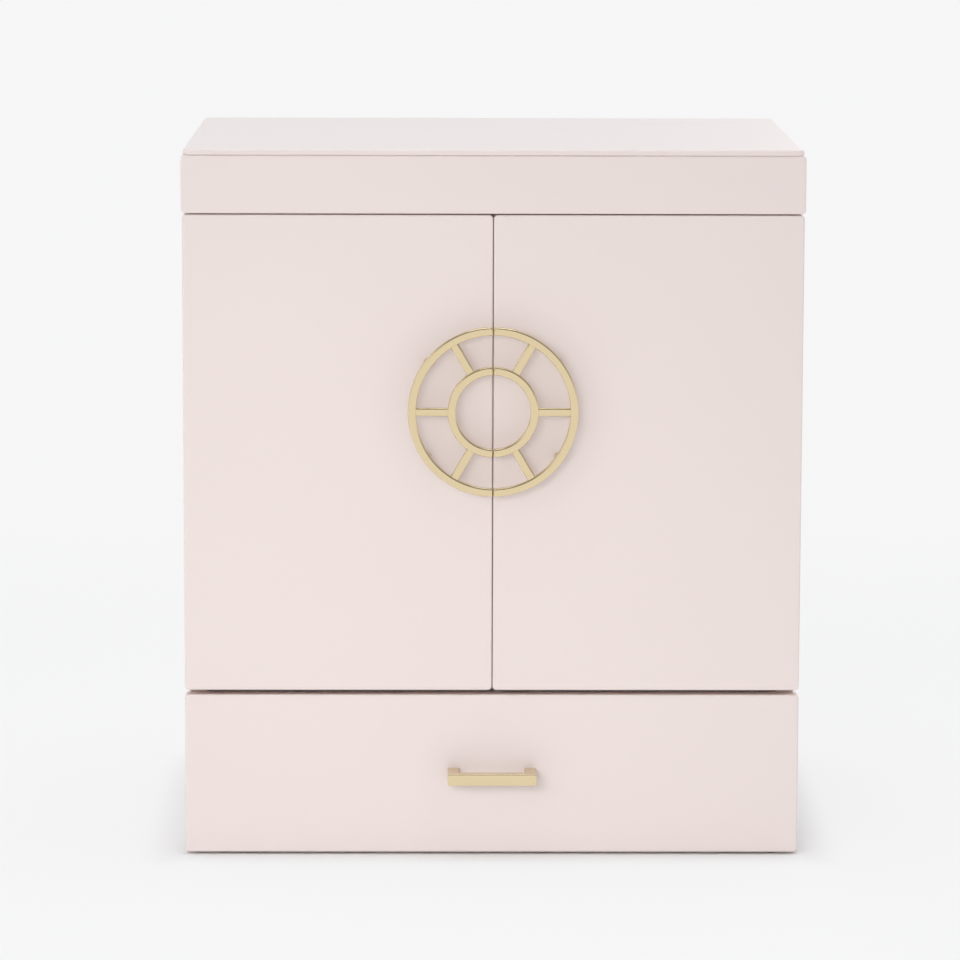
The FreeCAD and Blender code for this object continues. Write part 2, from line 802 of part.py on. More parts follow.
rear_rail = board("lid_back_rail", "-inner_half", "inner_back", "lid_low",
                  inner_wide, "board_thick", "band_height")
rear_tools = []
for side, middle in (("left", "-lid_hinge_pitch / 2"), ("right", "lid_hinge_pitch / 2")):
    low = middle + " - lid_hinge_length / 2 - mortise_gap"
    rear_tools.append(box("rail_mortise_" + side, low, "lid_axis_y - lid_hinge_reach - mortise_gap",
                          "lid_low", "lid_hinge_length + 2 * mortise_gap",
                          "lid_hinge_reach + mortise_gap", "lid_leaf_thick"))
keep(cut("lid_back_rail", rear_rail, rear_tools))

keep(board("lid_liner", "-inner_half + liner_gap", "front_back + liner_gap", "lid_high - liner_thick",
           "2 * (inner_half - liner_gap)", "inner_back - front_back - 2 * liner_gap", "liner_thick"))
keep(board("lid_mirror", "-mirror_width / 2", "-mirror_depth / 2", "lid_high - liner_thick - mirror_thick",
           "mirror_width", "mirror_depth", "mirror_thick"))


def mirror_frame():
    """A slim frame rebated over the edges of the mirror."""
    body = new_body("mirror_frame")
    thick = "mirror_thick + frame_lip_thick"
    outer = ["mirror_width / 2 + frame_border", "mirror_depth / 2 + frame_border"]
    seat = ["mirror_width / 2 + mirror_gap", "mirror_depth / 2 + mirror_gap"]
    sight = ["mirror_width / 2 - frame_lip", "mirror_depth / 2 - frame_lip"]

    def window(name, half):
        x, y = half
        return rectangle(body, name, "XY_Plane", "-(%s)" % x, x, "-(%s)" % y, y)

    pad(body, "slab", window("outline", outer), thick)
    chamfer(body, "frame_edges", "frame_edge", in_plane("z", "0"))
    pocket(body, "opening", window("sight", sight), thick, other_way=True)
    rebate = window("seat", seat)
    rebate.setExpression("AttachmentOffset.Base.z", link("frame_lip_thick"))
    pocket(body, "rebate", rebate, "mirror_thick", other_way=True)
    return put(body, z="lid_high - liner_thick - " + thick.replace("+", "-"))


keep(mirror_frame())

# Hinge sets
# The door leaves stand upright in the seam between case and fronts. The lid leaves lie in
# the seam at the back, and their pins run along X.

TURN_OVER = Rotation(Vector(1, 0, 0), 180)
TURN_BACK = Rotation(Vector(0, 1, 0), 180)
LID_TURN = Rotation(Vector(0, -1, 0), Vector(0, 0, -1), Vector(1, 0, 0), "XYZ")

door_levels = [("low", "low_hinge_z"), ("high", "high_hinge_z")]
lid_spots = [("left", "-lid_hinge_pitch / 2"), ("right", "lid_hinge_pitch / 2")]

case_leaves = []
door_leaves = {-1: [], 1: []}
door_pins = []
for side, name, x in ((-1, "left", "-door_axis_x"), (1, "right", "door_axis_x")):
    facing = ALONG_Z if side < 0 else TURN_BACK
    for level, z in door_levels:
        tag = "%s_%s" % (name, level)
        case_leaf = leaf(tag + "_case_leaf", "door", "front_gap / 2", True)
        case_leaves.append(put(case_leaf, x, "door_axis_y", z, facing))
        door_leaf = leaf(tag + "_door_leaf", "door", "front_gap / 2", False)
        door_leaves[side].append(put(door_leaf, x, "door_axis_y", z, facing.multiply(TURN_OVER)))
        door_pins.append(hinge_pin(tag + "_pin", "door", x, "door_axis_y", z))
keep(group("case_hinge_leaves", case_leaves), group("door_hinge_pins", door_pins))
keep(group("left_door_hinge_leaves", door_leaves[-1]), group("right_door_hinge_leaves", door_leaves[1]))

lower_leaves = []
upper_leaves = []
lid_pins = []
for name, x in lid_spots:
    lower = leaf(name + "_lower_leaf", "lid", "lid_rest_gap / 2", True)
    lower_leaves.append(put(lower, x, "lid_axis_y", "lid_axis_z", LID_TURN))
    upper = leaf(name + "_upper_leaf", "lid", "lid_rest_gap / 2", False)
    upper_leaves.append(put(upper, x, "lid_axis_y", "lid_axis_z", LID_TURN.multiply(TURN_OVER)))
    lid_pins.append(hinge_pin(name + "_lid_pin", "lid", x, "lid_axis_y", "lid_axis_z", ALONG_X, "x"))
keep(group("lid_hinge_lower_leaves", lower_leaves), group("lid_hinge_upper_leaves", upper_leaves))
keep(group("lid_hinge_pins", lid_pins))

# Doors
# Each door is a panel with two butt hinges, a steel strike, a velvet lining with necklace
# hooks and an elastic pouch, and one half of a ring pull that is split at the middle.


def screw_tools(tag, x, z):
    """The clearance hole of a pull screw and the recess for its hexagon head."""
    hole = rod(tag + "_hole", x, "front_face - 1", z, "screw_r + screw_bore_gap",
               "front_thick + 2", ALONG_Y)
    sink = hexagon(tag + "_sink", x, "front_back - screw_sink", z,
                   "screw_head_r + screw_head_gap", "screw_sink + 1")
    return [hole, sink]


def pull_screw(tag, x, z):
    head = hexagon(tag + "_head", x, "front_back - screw_sink", z, "screw_head_r", "screw_head_thick")
    shank = rod(tag + "_shank", x, "front_face - screw_bite", z, "screw_r",
                "front_thick + screw_bite - screw_sink", ALONG_Y)
    return fuse(tag, [head, shank])


def ring_pull(label, side):
    """Two flat brass rings joined by struts, made whole and sawn in two at the split."""
    body = new_body(label)
    for name, outer in (("outer", "pull_outer_r"), ("inner", "pull_inner_r")):
        profile = rectangle(body, name + "_bar", "XY_Plane",
                            outer + " - pull_bar", outer, "-pull_thick", "0")
        ring = body.newObject("PartDesign::Revolution", name + "_ring")
        ring.Profile = profile
        ring.ReferenceAxis = (profile, ["V_Axis"])
        doc.recompute()
        if name == "outer":
            body.AllowCompound = True
    bar = rectangle(body, "strut_bar", "XY_Plane", "pull_inner_r - pull_bar / 2", "pull_ring_r",
                    "-pull_thick + pull_strut_recess", "-pull_strut_recess")
    strut = pad(body, "strut", bar, "pull_bar", both_ways=True)
    struts = body.newObject("PartDesign::PolarPattern", "struts")
    struts.Originals = [strut]
    struts.Axis = (datum(body, "Y_Axis"), [""])
    struts.Angle = 360
    struts.Occurrences = int(360 / value("pull_strut_angle"))
    body.Tip = struts
    doc.recompute()
    spots = [("pull_ring_r * cos(pull_post_angle)", sign + "pull_ring_r * sin(pull_post_angle)")
             for sign in ("", "-")]
    for i, (x, z) in enumerate(spots):
        pad(body, "post_%d" % i, circle(body, "post_end_%d" % i, "XZ_Plane", x, z, "pull_post_r"),
            "pull_stand_off", other_way=True)
        bore = circle(body, "bore_end_%d" % i, "XZ_Plane", x, z, "screw_r + screw_bore_gap")
        pocket(body, "bore_%d" % i, bore, "pull_stand_off")
    half = rectangle(body, "other_half", "XZ_Plane", "-pull_outer_r - 1", "pull_split / 2",
                     "-pull_outer_r - 1", "pull_outer_r + 1")
    pocket(body, "split", half, "2 * (pull_stand_off + pull_thick)", both_ways=True)
    turn = ALONG_Z if side > 0 else TURN_BACK
    return put(body, "0", "front_face - pull_stand_off", "pull_z", turn)


def hook_plate(label, side):
    """A brass strip with four open hooks, set near the top of a door's lining."""
    body = new_body(label)
    count = 4
    reach = "(hook_plate_width - %d * door_hook_pitch) / 2" % (count - 1)
    strip = rectangle(body, "strip", "XZ_Plane", "-(%s)" % reach, "hook_plate_width - " + reach,
                      "-hook_plate_height / 2", "hook_plate_height / 2")
    pad(body, "plate", strip, "hook_plate_thick", other_way=True)
    chamfer(body, "plate_corners", "hook_plate_corner", along("y"))
    knee = ("hook_plate_thick + hook_peg_length", "0")
    centre = ("hook_plate_thick + hook_peg_length", "hook_bend_r")
    bend = ("hook_plate_thick + hook_peg_length + hook_bend_r", "hook_bend_r")
    tip = ("hook_plate_thick + hook_peg_length + hook_bend_r", "hook_bend_r + hook_tip")
    first = strip_hook(body, "XZ_Plane", hook_path(body, knee, centre, bend, tip))
    repeat_along_x(body, first, count, "door_hook_pitch")
    middle = "door_lining_mid" if side > 0 else "-door_lining_mid"
    x = "%s - hook_plate_width / 2 + %s" % (middle, reach)
    return put(body, x, "door_lining_face", "door_lining_high - hook_plate_drop - hook_plate_height / 2")


def pouch(label, side):
    """An elastic pocket: flat at the gathered mouth, fuller towards the bottom."""
    body = new_body(label)
    profile = polygon(body, "side_view", "YZ_Plane", [
        ("0", "0"), ("pouch_belly * 0.8", "0"), ("pouch_belly", "pouch_height * 0.12"),
        ("pouch_belly", "pouch_height * 0.4"), ("pouch_mouth", "pouch_height * 0.86"),
        ("pouch_mouth", "pouch_height"), ("0", "pouch_height")])
    pad(body, "bag", profile, "pouch_width", both_ways=True)
    off_wall = in_plane("y", "0")
    ends = [in_plane("x", "-pouch_width / 2"), in_plane("x", "pouch_width / 2")]
    chamfer(body, "soft_sides", "pouch_edge", lambda e: any(end(e) for end in ends) and not off_wall(e))
    middle = "door_lining_mid" if side > 0 else "-door_lining_mid"
    return put(body, middle, "door_lining_face", "door_lining_low + pouch_lift")


def door(name, side):
    left_edge = "-half_front" if side < 0 else "centre_gap / 2"
    panel = front_panel(name + "_door_panel", left_edge, "door_low", "door_width", "door_height")
    pin_x = "-door_axis_x" if side < 0 else "door_axis_x"
    tools = []
    for level, z in door_levels:
        tag = "%s_door_%s" % (name, level)
        reach = "door_hinge_reach + mortise_gap"
        x = pin_x if side < 0 else "door_axis_x - " + reach.replace("+", "-")
        low = z + " - door_hinge_length / 2 - mortise_gap"
        tools.append(box(tag + "_mortise", x, "front_back - door_leaf_thick", low,
                         reach, "door_leaf_thick", "door_hinge_length + 2 * mortise_gap"))
        tools.append(groove(tag + "_groove", "door", pin_x, "door_axis_y", z))
    sign = "-" if side < 0 else ""
    screws = []
    post_x = sign + "pull_ring_r * cos(pull_post_angle)"
    for level, way in (("low", " - "), ("high", " + ")):
        post_z = "pull_z" + way + "pull_ring_r * sin(pull_post_angle)"
        tag = "%s_pull_%s" % (name, level)
        tools.extend(screw_tools(tag, post_x, post_z))
        screws.append(pull_screw(tag + "_screw", post_x, post_z))
    strike = ("front_back - strike_thick", "magnet_z - strike_margin", "magnet_wide + 2 * strike_margin",
              "strike_thick", "magnet_high + 2 * strike_margin")
    strike_x = "magnet_from_middle - strike_margin"
    if side < 0:
        strike_x = "-magnet_from_middle - magnet_wide - strike_margin"
    tools.append(box(name + "_strike_recess", strike_x, *strike))
    keep(cut(name + "_door_panel", panel, tools))
    keep(box(name + "_door_strike", strike_x, *strike))
    keep(group(name + "_pull_screws", screws))
    keep(ring_pull(name + "_door_pull", side))
    lining_x = "-inner_half + door_lining_gap" if side < 0 else "door_lining_mid_gap"
    lining = board(name + "_door_lining", lining_x, "front_back", "door_lining_low", "door_lining_width",
                   "door_lining_thick", "door_lining_high - door_lining_low")
    chamfer(lining, "soft_edges", "door_lining_edge", in_plane("y", "door_lining_thick"))
    keep(lining, hook_plate(name + "_hook_plate", side), pouch(name + "_door_pouch", side))


door("left", -1)
door("right", 1)

# Drawer
# A velvet-lined box on side runners behind an overlay front with a square bar handle.

drawer_front = front_panel("drawer_front", "-half_front", "floor_gap", "front_width", "drawer_front_height")
handle_tools = []
handle_screws = []
for side, x in (("left", "-handle_screw_x"), ("right", "handle_screw_x")):
    handle_tools.extend(screw_tools("handle_" + side, x, "handle_z"))
    handle_screws.append(pull_screw("handle_screw_" + side, x, "handle_z"))
keep(cut("drawer_front", drawer_front, handle_tools))
keep(group("handle_screws", handle_screws))


def bar_handle():
    """A square brass bar on two posts, cut from one profile, each post bored for a screw."""
    body = new_body("drawer_handle")
    half, gap = "handle_length / 2", "handle_length / 2 - handle_post"
    floor = "-handle_reach + handle_bar"
    profile = polygon(body, "outline", "XY_Plane", [
        ("-" + half, "0"), ("-" + half, "-handle_reach"), (half, "-handle_reach"), (half, "0"),
        (gap, "0"), (gap, floor), ("-(%s)" % gap, floor), ("-(%s)" % gap, "0")])
    pad(body, "bar", profile, "handle_height", both_ways=True)
    at_front = in_plane("y", "-handle_reach")
    ends = [in_plane("x", "-" + half), in_plane("x", half)]
    chamfer(body, "soft_edges", "handle_edge", lambda e: at_front(e) or any(end(e) for end in ends)
            and not in_plane("y", "0")(e))
    for i, x in enumerate(("-handle_screw_x", "handle_screw_x")):
        bore = circle(body, "bore_end_%d" % i, "XZ_Plane", x, "0", "screw_r + screw_bore_gap")
        pocket(body, "bore_%d" % i, bore, "screw_bite + screw_bore_gap", other_way=True)
    return put(body, "0", "front_face", "handle_z")


keep(bar_handle())


def drawer_side(label, side):
    left = "-drawer_half" if side < 0 else "drawer_inner_half"
    blank = board(label, left, "front_back", "drawer_low",
                  "drawer_side_thick", "drawer_box_length", "drawer_box_height")
    upper = in_plane("z", "drawer_box_height")
    length = along("y")
    chamfer(blank, "top_edges", "board_edge", lambda e: upper(e) and length(e))
    track = "-inner_half" if side < 0 else "inner_half - runner_proud - runner_gap"
    slot = box(label + "_track", track, "runner_front - runner_gap", "runner_low - runner_gap",
               "runner_proud + runner_gap", "drawer_end - runner_front + runner_gap + 1",
               "runner_height + 2 * runner_gap")
    return cut(label, blank, [slot])


keep(drawer_side("drawer_left_side", -1), drawer_side("drawer_right_side", 1))

drawer_wide = "2 * drawer_inner_half"
keep(board("drawer_back", "-drawer_inner_half", "drawer_inner_end", "drawer_low",
           drawer_wide, "drawer_side_thick", "drawer_box_height - drawer_back_drop"))
keep(board("drawer_bottom", "-drawer_inner_half", "front_back", "drawer_low",
           drawer_wide, "drawer_inner_end - front_back", "drawer_bottom_thick"))
bed = open_tray("drawer_lining", drawer_wide, "drawer_inner_end - front_back",
                "drawer_back_top - drawer_floor - lining_drop / 2")
keep(put(bed, "-drawer_inner_half", "front_back", "drawer_floor"))

bed_low = "drawer_floor + lining_thick"
bed_front = "front_back + lining_thick"
bed_back = "drawer_inner_end - lining_thick"
split = "front_back + drawer_split_y"
keep(group("drawer_dividers", [
    board("drawer_long_divider", "-drawer_inner_half + lining_thick", split, bed_low,
          "2 * (drawer_inner_half - lining_thick)", "divider_thick", "drawer_divider_height"),
    board("drawer_front_divider", "drawer_split_x", bed_front, bed_low,
          "divider_thick", split + " - (%s)" % bed_front, "drawer_divider_height"),
    board("drawer_rear_divider", "drawer_split_x", split + " + divider_thick", bed_low,
          "divider_thick", "%s - (%s) - divider_thick" % (bed_back, split), "drawer_divider_height"),
]))


def bracelet_pillow(number, x):
    """A foam pillow under velvet: drawn in at its base, crown and upright corners."""
    body = new_body("bracelet_pillow_%d" % number)
    outline = rectangle(body, "outline", "XY_Plane", "-pillow_width / 2", "pillow_width / 2",
                        "-pillow_depth / 2", "pillow_depth / 2")
    pad(body, "pillow", outline, "pillow_height")
    chamfer(body, "upright_corners", "pillow_corner", along("z"))
    chamfer(body, "base_edges", "pillow_base_cut", in_plane("z", "0"))
    chamfer(body, "crown_edges", "pillow_crown_cut", in_plane("z", "pillow_height"))
    return put(body, x, "front_back + drawer_split_y / 2", bed_low)


middle = "(drawer_split_x - drawer_inner_half + lining_thick) / 2"
pillows = []
for i, step in enumerate((-1, 0, 1)):
    pillows.append(bracelet_pillow(i + 1, "%s + %d * (pillow_width + pillow_gap)" % (middle, step)))
keep(group("bracelet_pillows", pillows))

# Check and write every sub-part

doc.recompute()
for thing in doc.Objects:
    if "Invalid" in thing.State or "Error" in thing.State:
        raise RuntimeError("%s did not build: %s" % (thing.Label, thing.State))

labels = [part.Label for part in parts]
if len(set(labels)) != len(labels):
    raise RuntimeError("two sub-parts share a name")
for part in parts:
    if part.Shape.isNull() or not part.Shape.isValid() or not part.Shape.Solids:
        raise RuntimeError(part.Label + " has no valid solid")

os.makedirs("parts", exist_ok=True)
for part in parts:
    part.Shape.exportStep("parts/" + part.Label + ".step")
print(len(parts), "sub-parts written")
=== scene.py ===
import json
import math
from collections import namedtuple
import bmesh
import bpy
from mathutils import Matrix, Vector, noise

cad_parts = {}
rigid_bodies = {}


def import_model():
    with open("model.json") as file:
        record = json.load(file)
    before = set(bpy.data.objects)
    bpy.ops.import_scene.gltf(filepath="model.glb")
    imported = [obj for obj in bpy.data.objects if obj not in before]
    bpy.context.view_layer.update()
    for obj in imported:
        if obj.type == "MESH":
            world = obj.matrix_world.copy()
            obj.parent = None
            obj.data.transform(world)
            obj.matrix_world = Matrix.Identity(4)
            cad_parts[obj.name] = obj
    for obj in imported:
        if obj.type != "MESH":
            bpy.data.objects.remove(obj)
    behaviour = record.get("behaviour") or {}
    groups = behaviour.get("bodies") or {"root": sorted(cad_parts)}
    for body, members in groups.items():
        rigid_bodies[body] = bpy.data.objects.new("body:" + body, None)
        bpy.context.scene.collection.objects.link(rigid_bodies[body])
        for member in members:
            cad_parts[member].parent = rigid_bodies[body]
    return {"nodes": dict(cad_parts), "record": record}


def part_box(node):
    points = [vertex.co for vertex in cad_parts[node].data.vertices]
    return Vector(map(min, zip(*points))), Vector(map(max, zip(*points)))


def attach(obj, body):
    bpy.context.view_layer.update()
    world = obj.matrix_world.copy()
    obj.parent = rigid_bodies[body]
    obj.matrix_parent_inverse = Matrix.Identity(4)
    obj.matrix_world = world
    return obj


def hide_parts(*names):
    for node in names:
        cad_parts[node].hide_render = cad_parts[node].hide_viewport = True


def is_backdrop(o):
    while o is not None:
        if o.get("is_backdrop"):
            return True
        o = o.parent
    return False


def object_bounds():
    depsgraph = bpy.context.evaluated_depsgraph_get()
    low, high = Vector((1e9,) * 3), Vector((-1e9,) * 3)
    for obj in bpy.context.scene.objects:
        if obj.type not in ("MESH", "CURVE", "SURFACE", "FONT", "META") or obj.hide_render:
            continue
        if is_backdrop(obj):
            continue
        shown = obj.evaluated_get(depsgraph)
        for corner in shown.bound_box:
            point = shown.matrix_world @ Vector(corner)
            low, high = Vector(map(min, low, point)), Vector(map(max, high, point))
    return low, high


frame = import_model()
bounds_at_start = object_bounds()

# Case boards
# Boards glued up as a box and wrapped in blush leather, a satin-coated one with a fine pebbled
# grain. Every arris is softly rounded, every joint shows as a fine groove, and the sides are
# cut back where the hinges sit.

mm = 0.001


class Wire:
    """A value on its way through a shader tree. Sums and products on it add Math nodes."""

    def __init__(self, tree, socket=None):
        self.tree = tree
        self.socket = socket

    def node(self, kind, settings=(), values=(), out=0):
        made = self.tree.nodes.new(kind)
        for name, setting in dict(settings).items():
            setattr(made, name, setting)
        for name, value in dict(values).items():
            if isinstance(value, Wire):
                self.tree.links.new(value.socket, made.inputs[name])
            else:
                made.inputs[name].default_value = value
        return Wire(self.tree, made.outputs[out] if made.outputs else None)

    def math(self, operation, *values):
        return self.node("ShaderNodeMath", {"operation": operation}, enumerate(values))

    def __add__(self, other):
        return self.math("ADD", self, other)

    def __sub__(self, other):
        return self.math("SUBTRACT", self, other)

    def __rsub__(self, other):
        return self.math("SUBTRACT", other, self)

    def __mul__(self, other):
        return self.math("MULTIPLY", self, other)

    __radd__ = __add__
    __rmul__ = __mul__


def start_shader(name):
    """An empty material, and the place on the piece that its patterns are laid out by."""
    made = bpy.data.materials.new(name)
    made.use_nodes = True
    made.node_tree.nodes.clear()
    return made, Wire(made.node_tree).node("ShaderNodeTexCoord", out=3)


def noise_at(place, scale, detail=2.0, rough=0.5):
    values = {"Vector": place, "Scale": scale, "Detail": detail, "Roughness": rough}
    return place.node("ShaderNodeTexNoise", {}, values)


def between(factor, low, high):
    """A colour that runs from low to high with the factor."""
    values = {"Factor": factor, 6: (*low, 1.0), 7: (*high, 1.0)}
    return factor.node("ShaderNodeMix", {"data_type": "RGBA"}, values, out=2)


def end_shader(made, place, color, roughness, height=None, depth=0.0, constants=()):
    """Closes a material with a Principled shader; height is bumped by depth in metres."""
    values = {"Base Color": color, "Roughness": roughness, **dict(constants)}
    if height is not None:
        values["Normal"] = place.node("ShaderNodeBump", {}, {"Height": height, "Distance": depth})
    surface = place.node("ShaderNodeBsdfPrincipled", {}, values)
    place.node("ShaderNodeOutputMaterial", {}, {"Surface": surface})
    return made


def leather(name, low, high):
    """Coated leather. Its tint and shine drift a little from place to place."""
    made, place = start_shader(name)
    drift = noise_at(place, 7.0, 3.0)
    cells = place.node("ShaderNodeTexVoronoi", {"feature": "SMOOTH_F1"},
                       {"Vector": place, "Scale": 950.0})
    pores = noise_at(place, 2600.0, 3.0, 0.6)
    sag = noise_at(place, 16.0, 1.0)
    tone = between(drift * 0.75 + pores * 0.25, low, high)
    coat = {"Coat Weight": 0.25, "Coat Roughness": 0.25}
    return end_shader(made, place, tone, noise_at(place, 30.0, 4.0) * 0.1 + 0.36,
                      cells * 0.7 + pores * 0.3 + sag, 0.000025, coat)


blush = leather("blush_leather", (0.785, 0.690, 0.670), (0.815, 0.722, 0.702))

slot_of = {part["node"]: part["material_slot"] for part in frame["record"]["subparts"]}
body_of = {node: body for body, nodes in frame["record"]["behaviour"]["bodies"].items()
           for node in nodes}


def cube(low, high):
    """A sharp box between two corners."""
    bm = bmesh.new()
    bmesh.ops.create_cube(bm, size=1.0)
    bm.transform(Matrix.Translation((low + high) / 2) @ Matrix.Diagonal((*(high - low), 1.0)))
    return bm


def soften(bm, edges, radius, segments):
    """Rounds edges over; one segment makes a plain bevel."""
    bmesh.ops.bevel(bm, geom=edges, offset=radius, segments=segments, profile=0.5, affect="EDGES")


def block(low, high, radius, segments=3):
    """A box with every edge rounded."""
    bm = cube(low, high)
    soften(bm, list(bm.edges), radius, segments)
    return bm


def runs_along(axis):
    """A test for edges that run along an axis."""
    def wanted(edge):
        way = edge.verts[1].co - edge.verts[0].co
        return abs(way[axis]) > 0.999 * way.length
    return wanted


def lies_at(axis, level):
    """A test for edges that lie whole at one level of an axis."""
    return lambda edge: all(abs(v.co[axis] - level) < 1e-6 for v in edge.verts)


def pick(bm, wanted):
    return [edge for edge in bm.edges if wanted(edge)]


def join(bm, other, place=None):
    """Adds another shape to a shape, moved to its place."""
    mesh = bpy.data.meshes.new("part")
    other.to_mesh(mesh)
    other.free()
    if place is not None:
        mesh.transform(place)
    bm.from_mesh(mesh)
    bpy.data.meshes.remove(mesh)
    return bm


def draw(name, bm, material, crisp=True):
    """A shape as an object. Crisp shapes keep their level faces flat."""
    bmesh.ops.recalc_face_normals(bm, faces=bm.faces)
    for face in bm.faces:
        face.smooth = not crisp or max(abs(c) for c in face.normal) < 0.9999
    mesh = bpy.data.meshes.new(name)
    bm.to_mesh(mesh)
    bm.free()
    mesh.materials.append(material)
    piece = bpy.data.objects.new(name, mesh)
    bpy.context.scene.collection.objects.link(piece)
    return piece


def apply_modifiers(piece):
    """What the modifiers make becomes the piece's own mesh."""
    bpy.context.view_layer.update()
    evaluated = piece.evaluated_get(bpy.context.evaluated_depsgraph_get())
    mesh = bpy.data.meshes.new_from_object(evaluated)
    piece.modifiers.clear()
    piece.data = mesh
    return piece


def carve(piece, tools):
    """Cuts shapes out of a piece."""
    for number, tool in enumerate(tools):
        cutter = draw("cutter_%d" % number, tool, piece.data.materials[0])
        change = piece.modifiers.new("carve", "BOOLEAN")
        change.operation = "DIFFERENCE"
        change.solver = "EXACT"
        change.object = cutter
    apply_modifiers(piece)
    for number in range(len(tools)):
        bpy.data.objects.remove(bpy.data.objects["cutter_%d" % number])
    return piece


def settle(piece, node):
    """The piece stands for a CAD node, which it hides, and rides with its body."""
    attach(piece, body_of[node])
    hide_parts(node)
    return piece


def span(node):
    """The low and the high corner of a CAD node."""
    low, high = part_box(node)
    return Vector(low), Vector(high)


def solids(node):
    """(low, high) of each separate solid of a CAD node, in order of x, then y, then z."""
    bm = bmesh.new()
    bm.from_mesh(frame["nodes"][node].data)
    bm.transform(frame["nodes"][node].matrix_world)
    bmesh.ops.remove_doubles(bm, verts=bm.verts, dist=1e-6)
    left = set(bm.verts)
    found = []
    while left:
        group = set()
        queue = [left.pop()]
        while queue:
            vert = queue.pop()
            group.add(vert)
            for edge in vert.link_edges:
                other = edge.other_vert(vert)
                if other in left:
                    left.remove(other)
                    queue.append(other)
        points = [v.co for v in group]
        low = Vector([min(p[i] for p in points) for i in range(3)])
        high = Vector([max(p[i] for p in points) for i in range(3)])
        found.append((low, high))
    bm.free()
    return sorted(found, key=lambda pair: tuple(round(c, 5) for c in (*pair[0], *pair[1])))


def lathe(profile, around=40):
    """A turned shape about Z from (radius, height) pairs: on the axis at both ends, or a ring."""
    bm = bmesh.new()
    rings = []
    for radius, level in profile:
        if radius == 0:
            rings.append([bm.verts.new((0, 0, level))])
            continue
        turns = [math.tau * i / around for i in range(around)]
        rings.append([bm.verts.new((radius * math.cos(t), radius * math.sin(t), level)) for t in turns])
    after = rings[1:] + (rings[:1] if profile[0][0] else [])
    for one, two in zip(rings, after):
        for i in range(around):
            j = (i + 1) % around
            corners = [one[i % len(one)], one[j % len(one)], two[j % len(two)], two[i % len(two)]]
            bm.faces.new(list(dict.fromkeys(corners)))
    return bm


def drum(radius, low, high, edge, bore=0):
    """A short round bar or bored bush with rounded rims."""
    steps = [math.radians(a) for a in (0, 30, 60, 90)]
    lower = [(radius - edge + edge * math.sin(a), low + edge - edge * math.cos(a)) for a in steps]
    upper = [(radius - edge + edge * math.cos(a), high - edge + edge * math.sin(a)) for a in steps]
    return lathe([(bore, low), *lower, *upper, (bore, high)])


door_pins = solids("door_hinge_pins")
lid_pins = solids("lid_hinge_pins")
barrel_room, groove_past = 1.55 * mm, 0.3 * mm
leaf_room, lid_leaf_room = 8.5 * mm, 8.3 * mm
leaf_inset, leaf_depth = 0.4 * mm, 0.8 * mm
arris, back_corner = 0.7 * mm, 2.0 * mm


def hinge_cutters(pins, board_low, board_high):
    """The grooves of the knuckles and the shallow seats of the leaves."""
    tools = []
    for low, high in pins:
        axis = (low + high) / 2
        groove = drum(barrel_room, low.z - groove_past, high.z + groove_past, 0.1 * mm)
        tools.append(join(bmesh.new(), groove, Matrix.Translation((axis.x, axis.y, 0))))
        inward = -1 if axis.x > 0 else 1
        ends = sorted((axis.x, axis.x + inward * leaf_room))
        tools.append(cube(Vector((ends[0], board_low, low.z + leaf_inset)),
                          Vector((ends[1], board_high, high.z - leaf_inset))))
    return tools


for name, side in (("left_side", -1), ("right_side", 1)):
    low, high = span(name)
    bm = cube(low, high)
    outer = low.x if side < 0 else high.x
    rear = pick(bm, lambda e: runs_along(2)(e) and lies_at(0, outer)(e) and lies_at(1, high.y)(e))
    soften(bm, rear, back_corner, 6)
    soften(bm, pick(bm, lambda e: lies_at(0, outer)(e) and not runs_along(2)(e) or lies_at(1, low.y)(e)
                    or (lies_at(2, high.z)(e) and not lies_at(1, high.y)(e))), arris, 3)
    piece = draw(name + "_board", bm, blush)
    pins = [pin for pin in door_pins if pin[0].x * side > 0]
    carve(piece, hinge_cutters(pins, low.y - 1 * mm, low.y + leaf_depth))
    settle(piece, name)

for name in ("bottom_board", "drawer_divider", "tray_front_rail"):
    piece = draw(name + "_wrapped", block(*span(name), arris), blush)
    if name == "tray_front_rail":
        ahead = Vector((0, 1 * mm, 0))
        carve(piece, [cube(low - ahead, high) for low, high in solids("door_magnets")])
    settle(piece, name)

for name, over in (("back_board", True), ("lid_back_rail", False)):
    low, high = span(name)
    piece = draw(name + "_wrapped", block(low, high, arris), blush)
    seats = []
    for pin_low, pin_high in lid_pins:
        depth = (-1.0, 0.5) if over else (-0.5, 1.0)
        edge = high.z if over else low.z
        seats.append(cube(
            Vector((pin_low.x + leaf_inset, pin_low.y - lid_leaf_room, edge + depth[0] * mm)),
            Vector((pin_high.x - leaf_inset, high.y + 1 * mm, edge + depth[1] * mm))))
    settle(carve(piece, seats), name)

# Base felt
# A sheet of dense brown wool felt under the whole base, cut with rounded corners and glued
# on. It is what the cabinet rests on.


def stretched(place, x, y, z):
    """The place with its axes scaled, for strokes that run one way."""
    return place.node("ShaderNodeMapping", {}, {"Vector": place, "Scale": (x, y, z)})


def velvet_like(name, low, high, sheen, pile_depth):
    """A napped cloth: its pile as fine noise, its stroked patches as broad noise."""
    made, place = start_shader(name)
    pile = noise_at(place, 3800.0, 2.0, 0.7)
    nap = noise_at(place, 22.0, 4.0, 0.55)
    streaks = noise_at(stretched(place, 60.0, 60.0, 14.0), 1.0, 3.0)
    tone = between(nap * 0.9 + streaks * 0.7 + pile * 0.5 - 0.55, low, high)
    extras = {"Sheen Weight": sheen, "Sheen Roughness": 0.4, "Specular IOR Level": 0.15}
    return end_shader(made, place, tone, pile * 0.1 + 0.82, pile + nap * 0.5, pile_depth, extras)


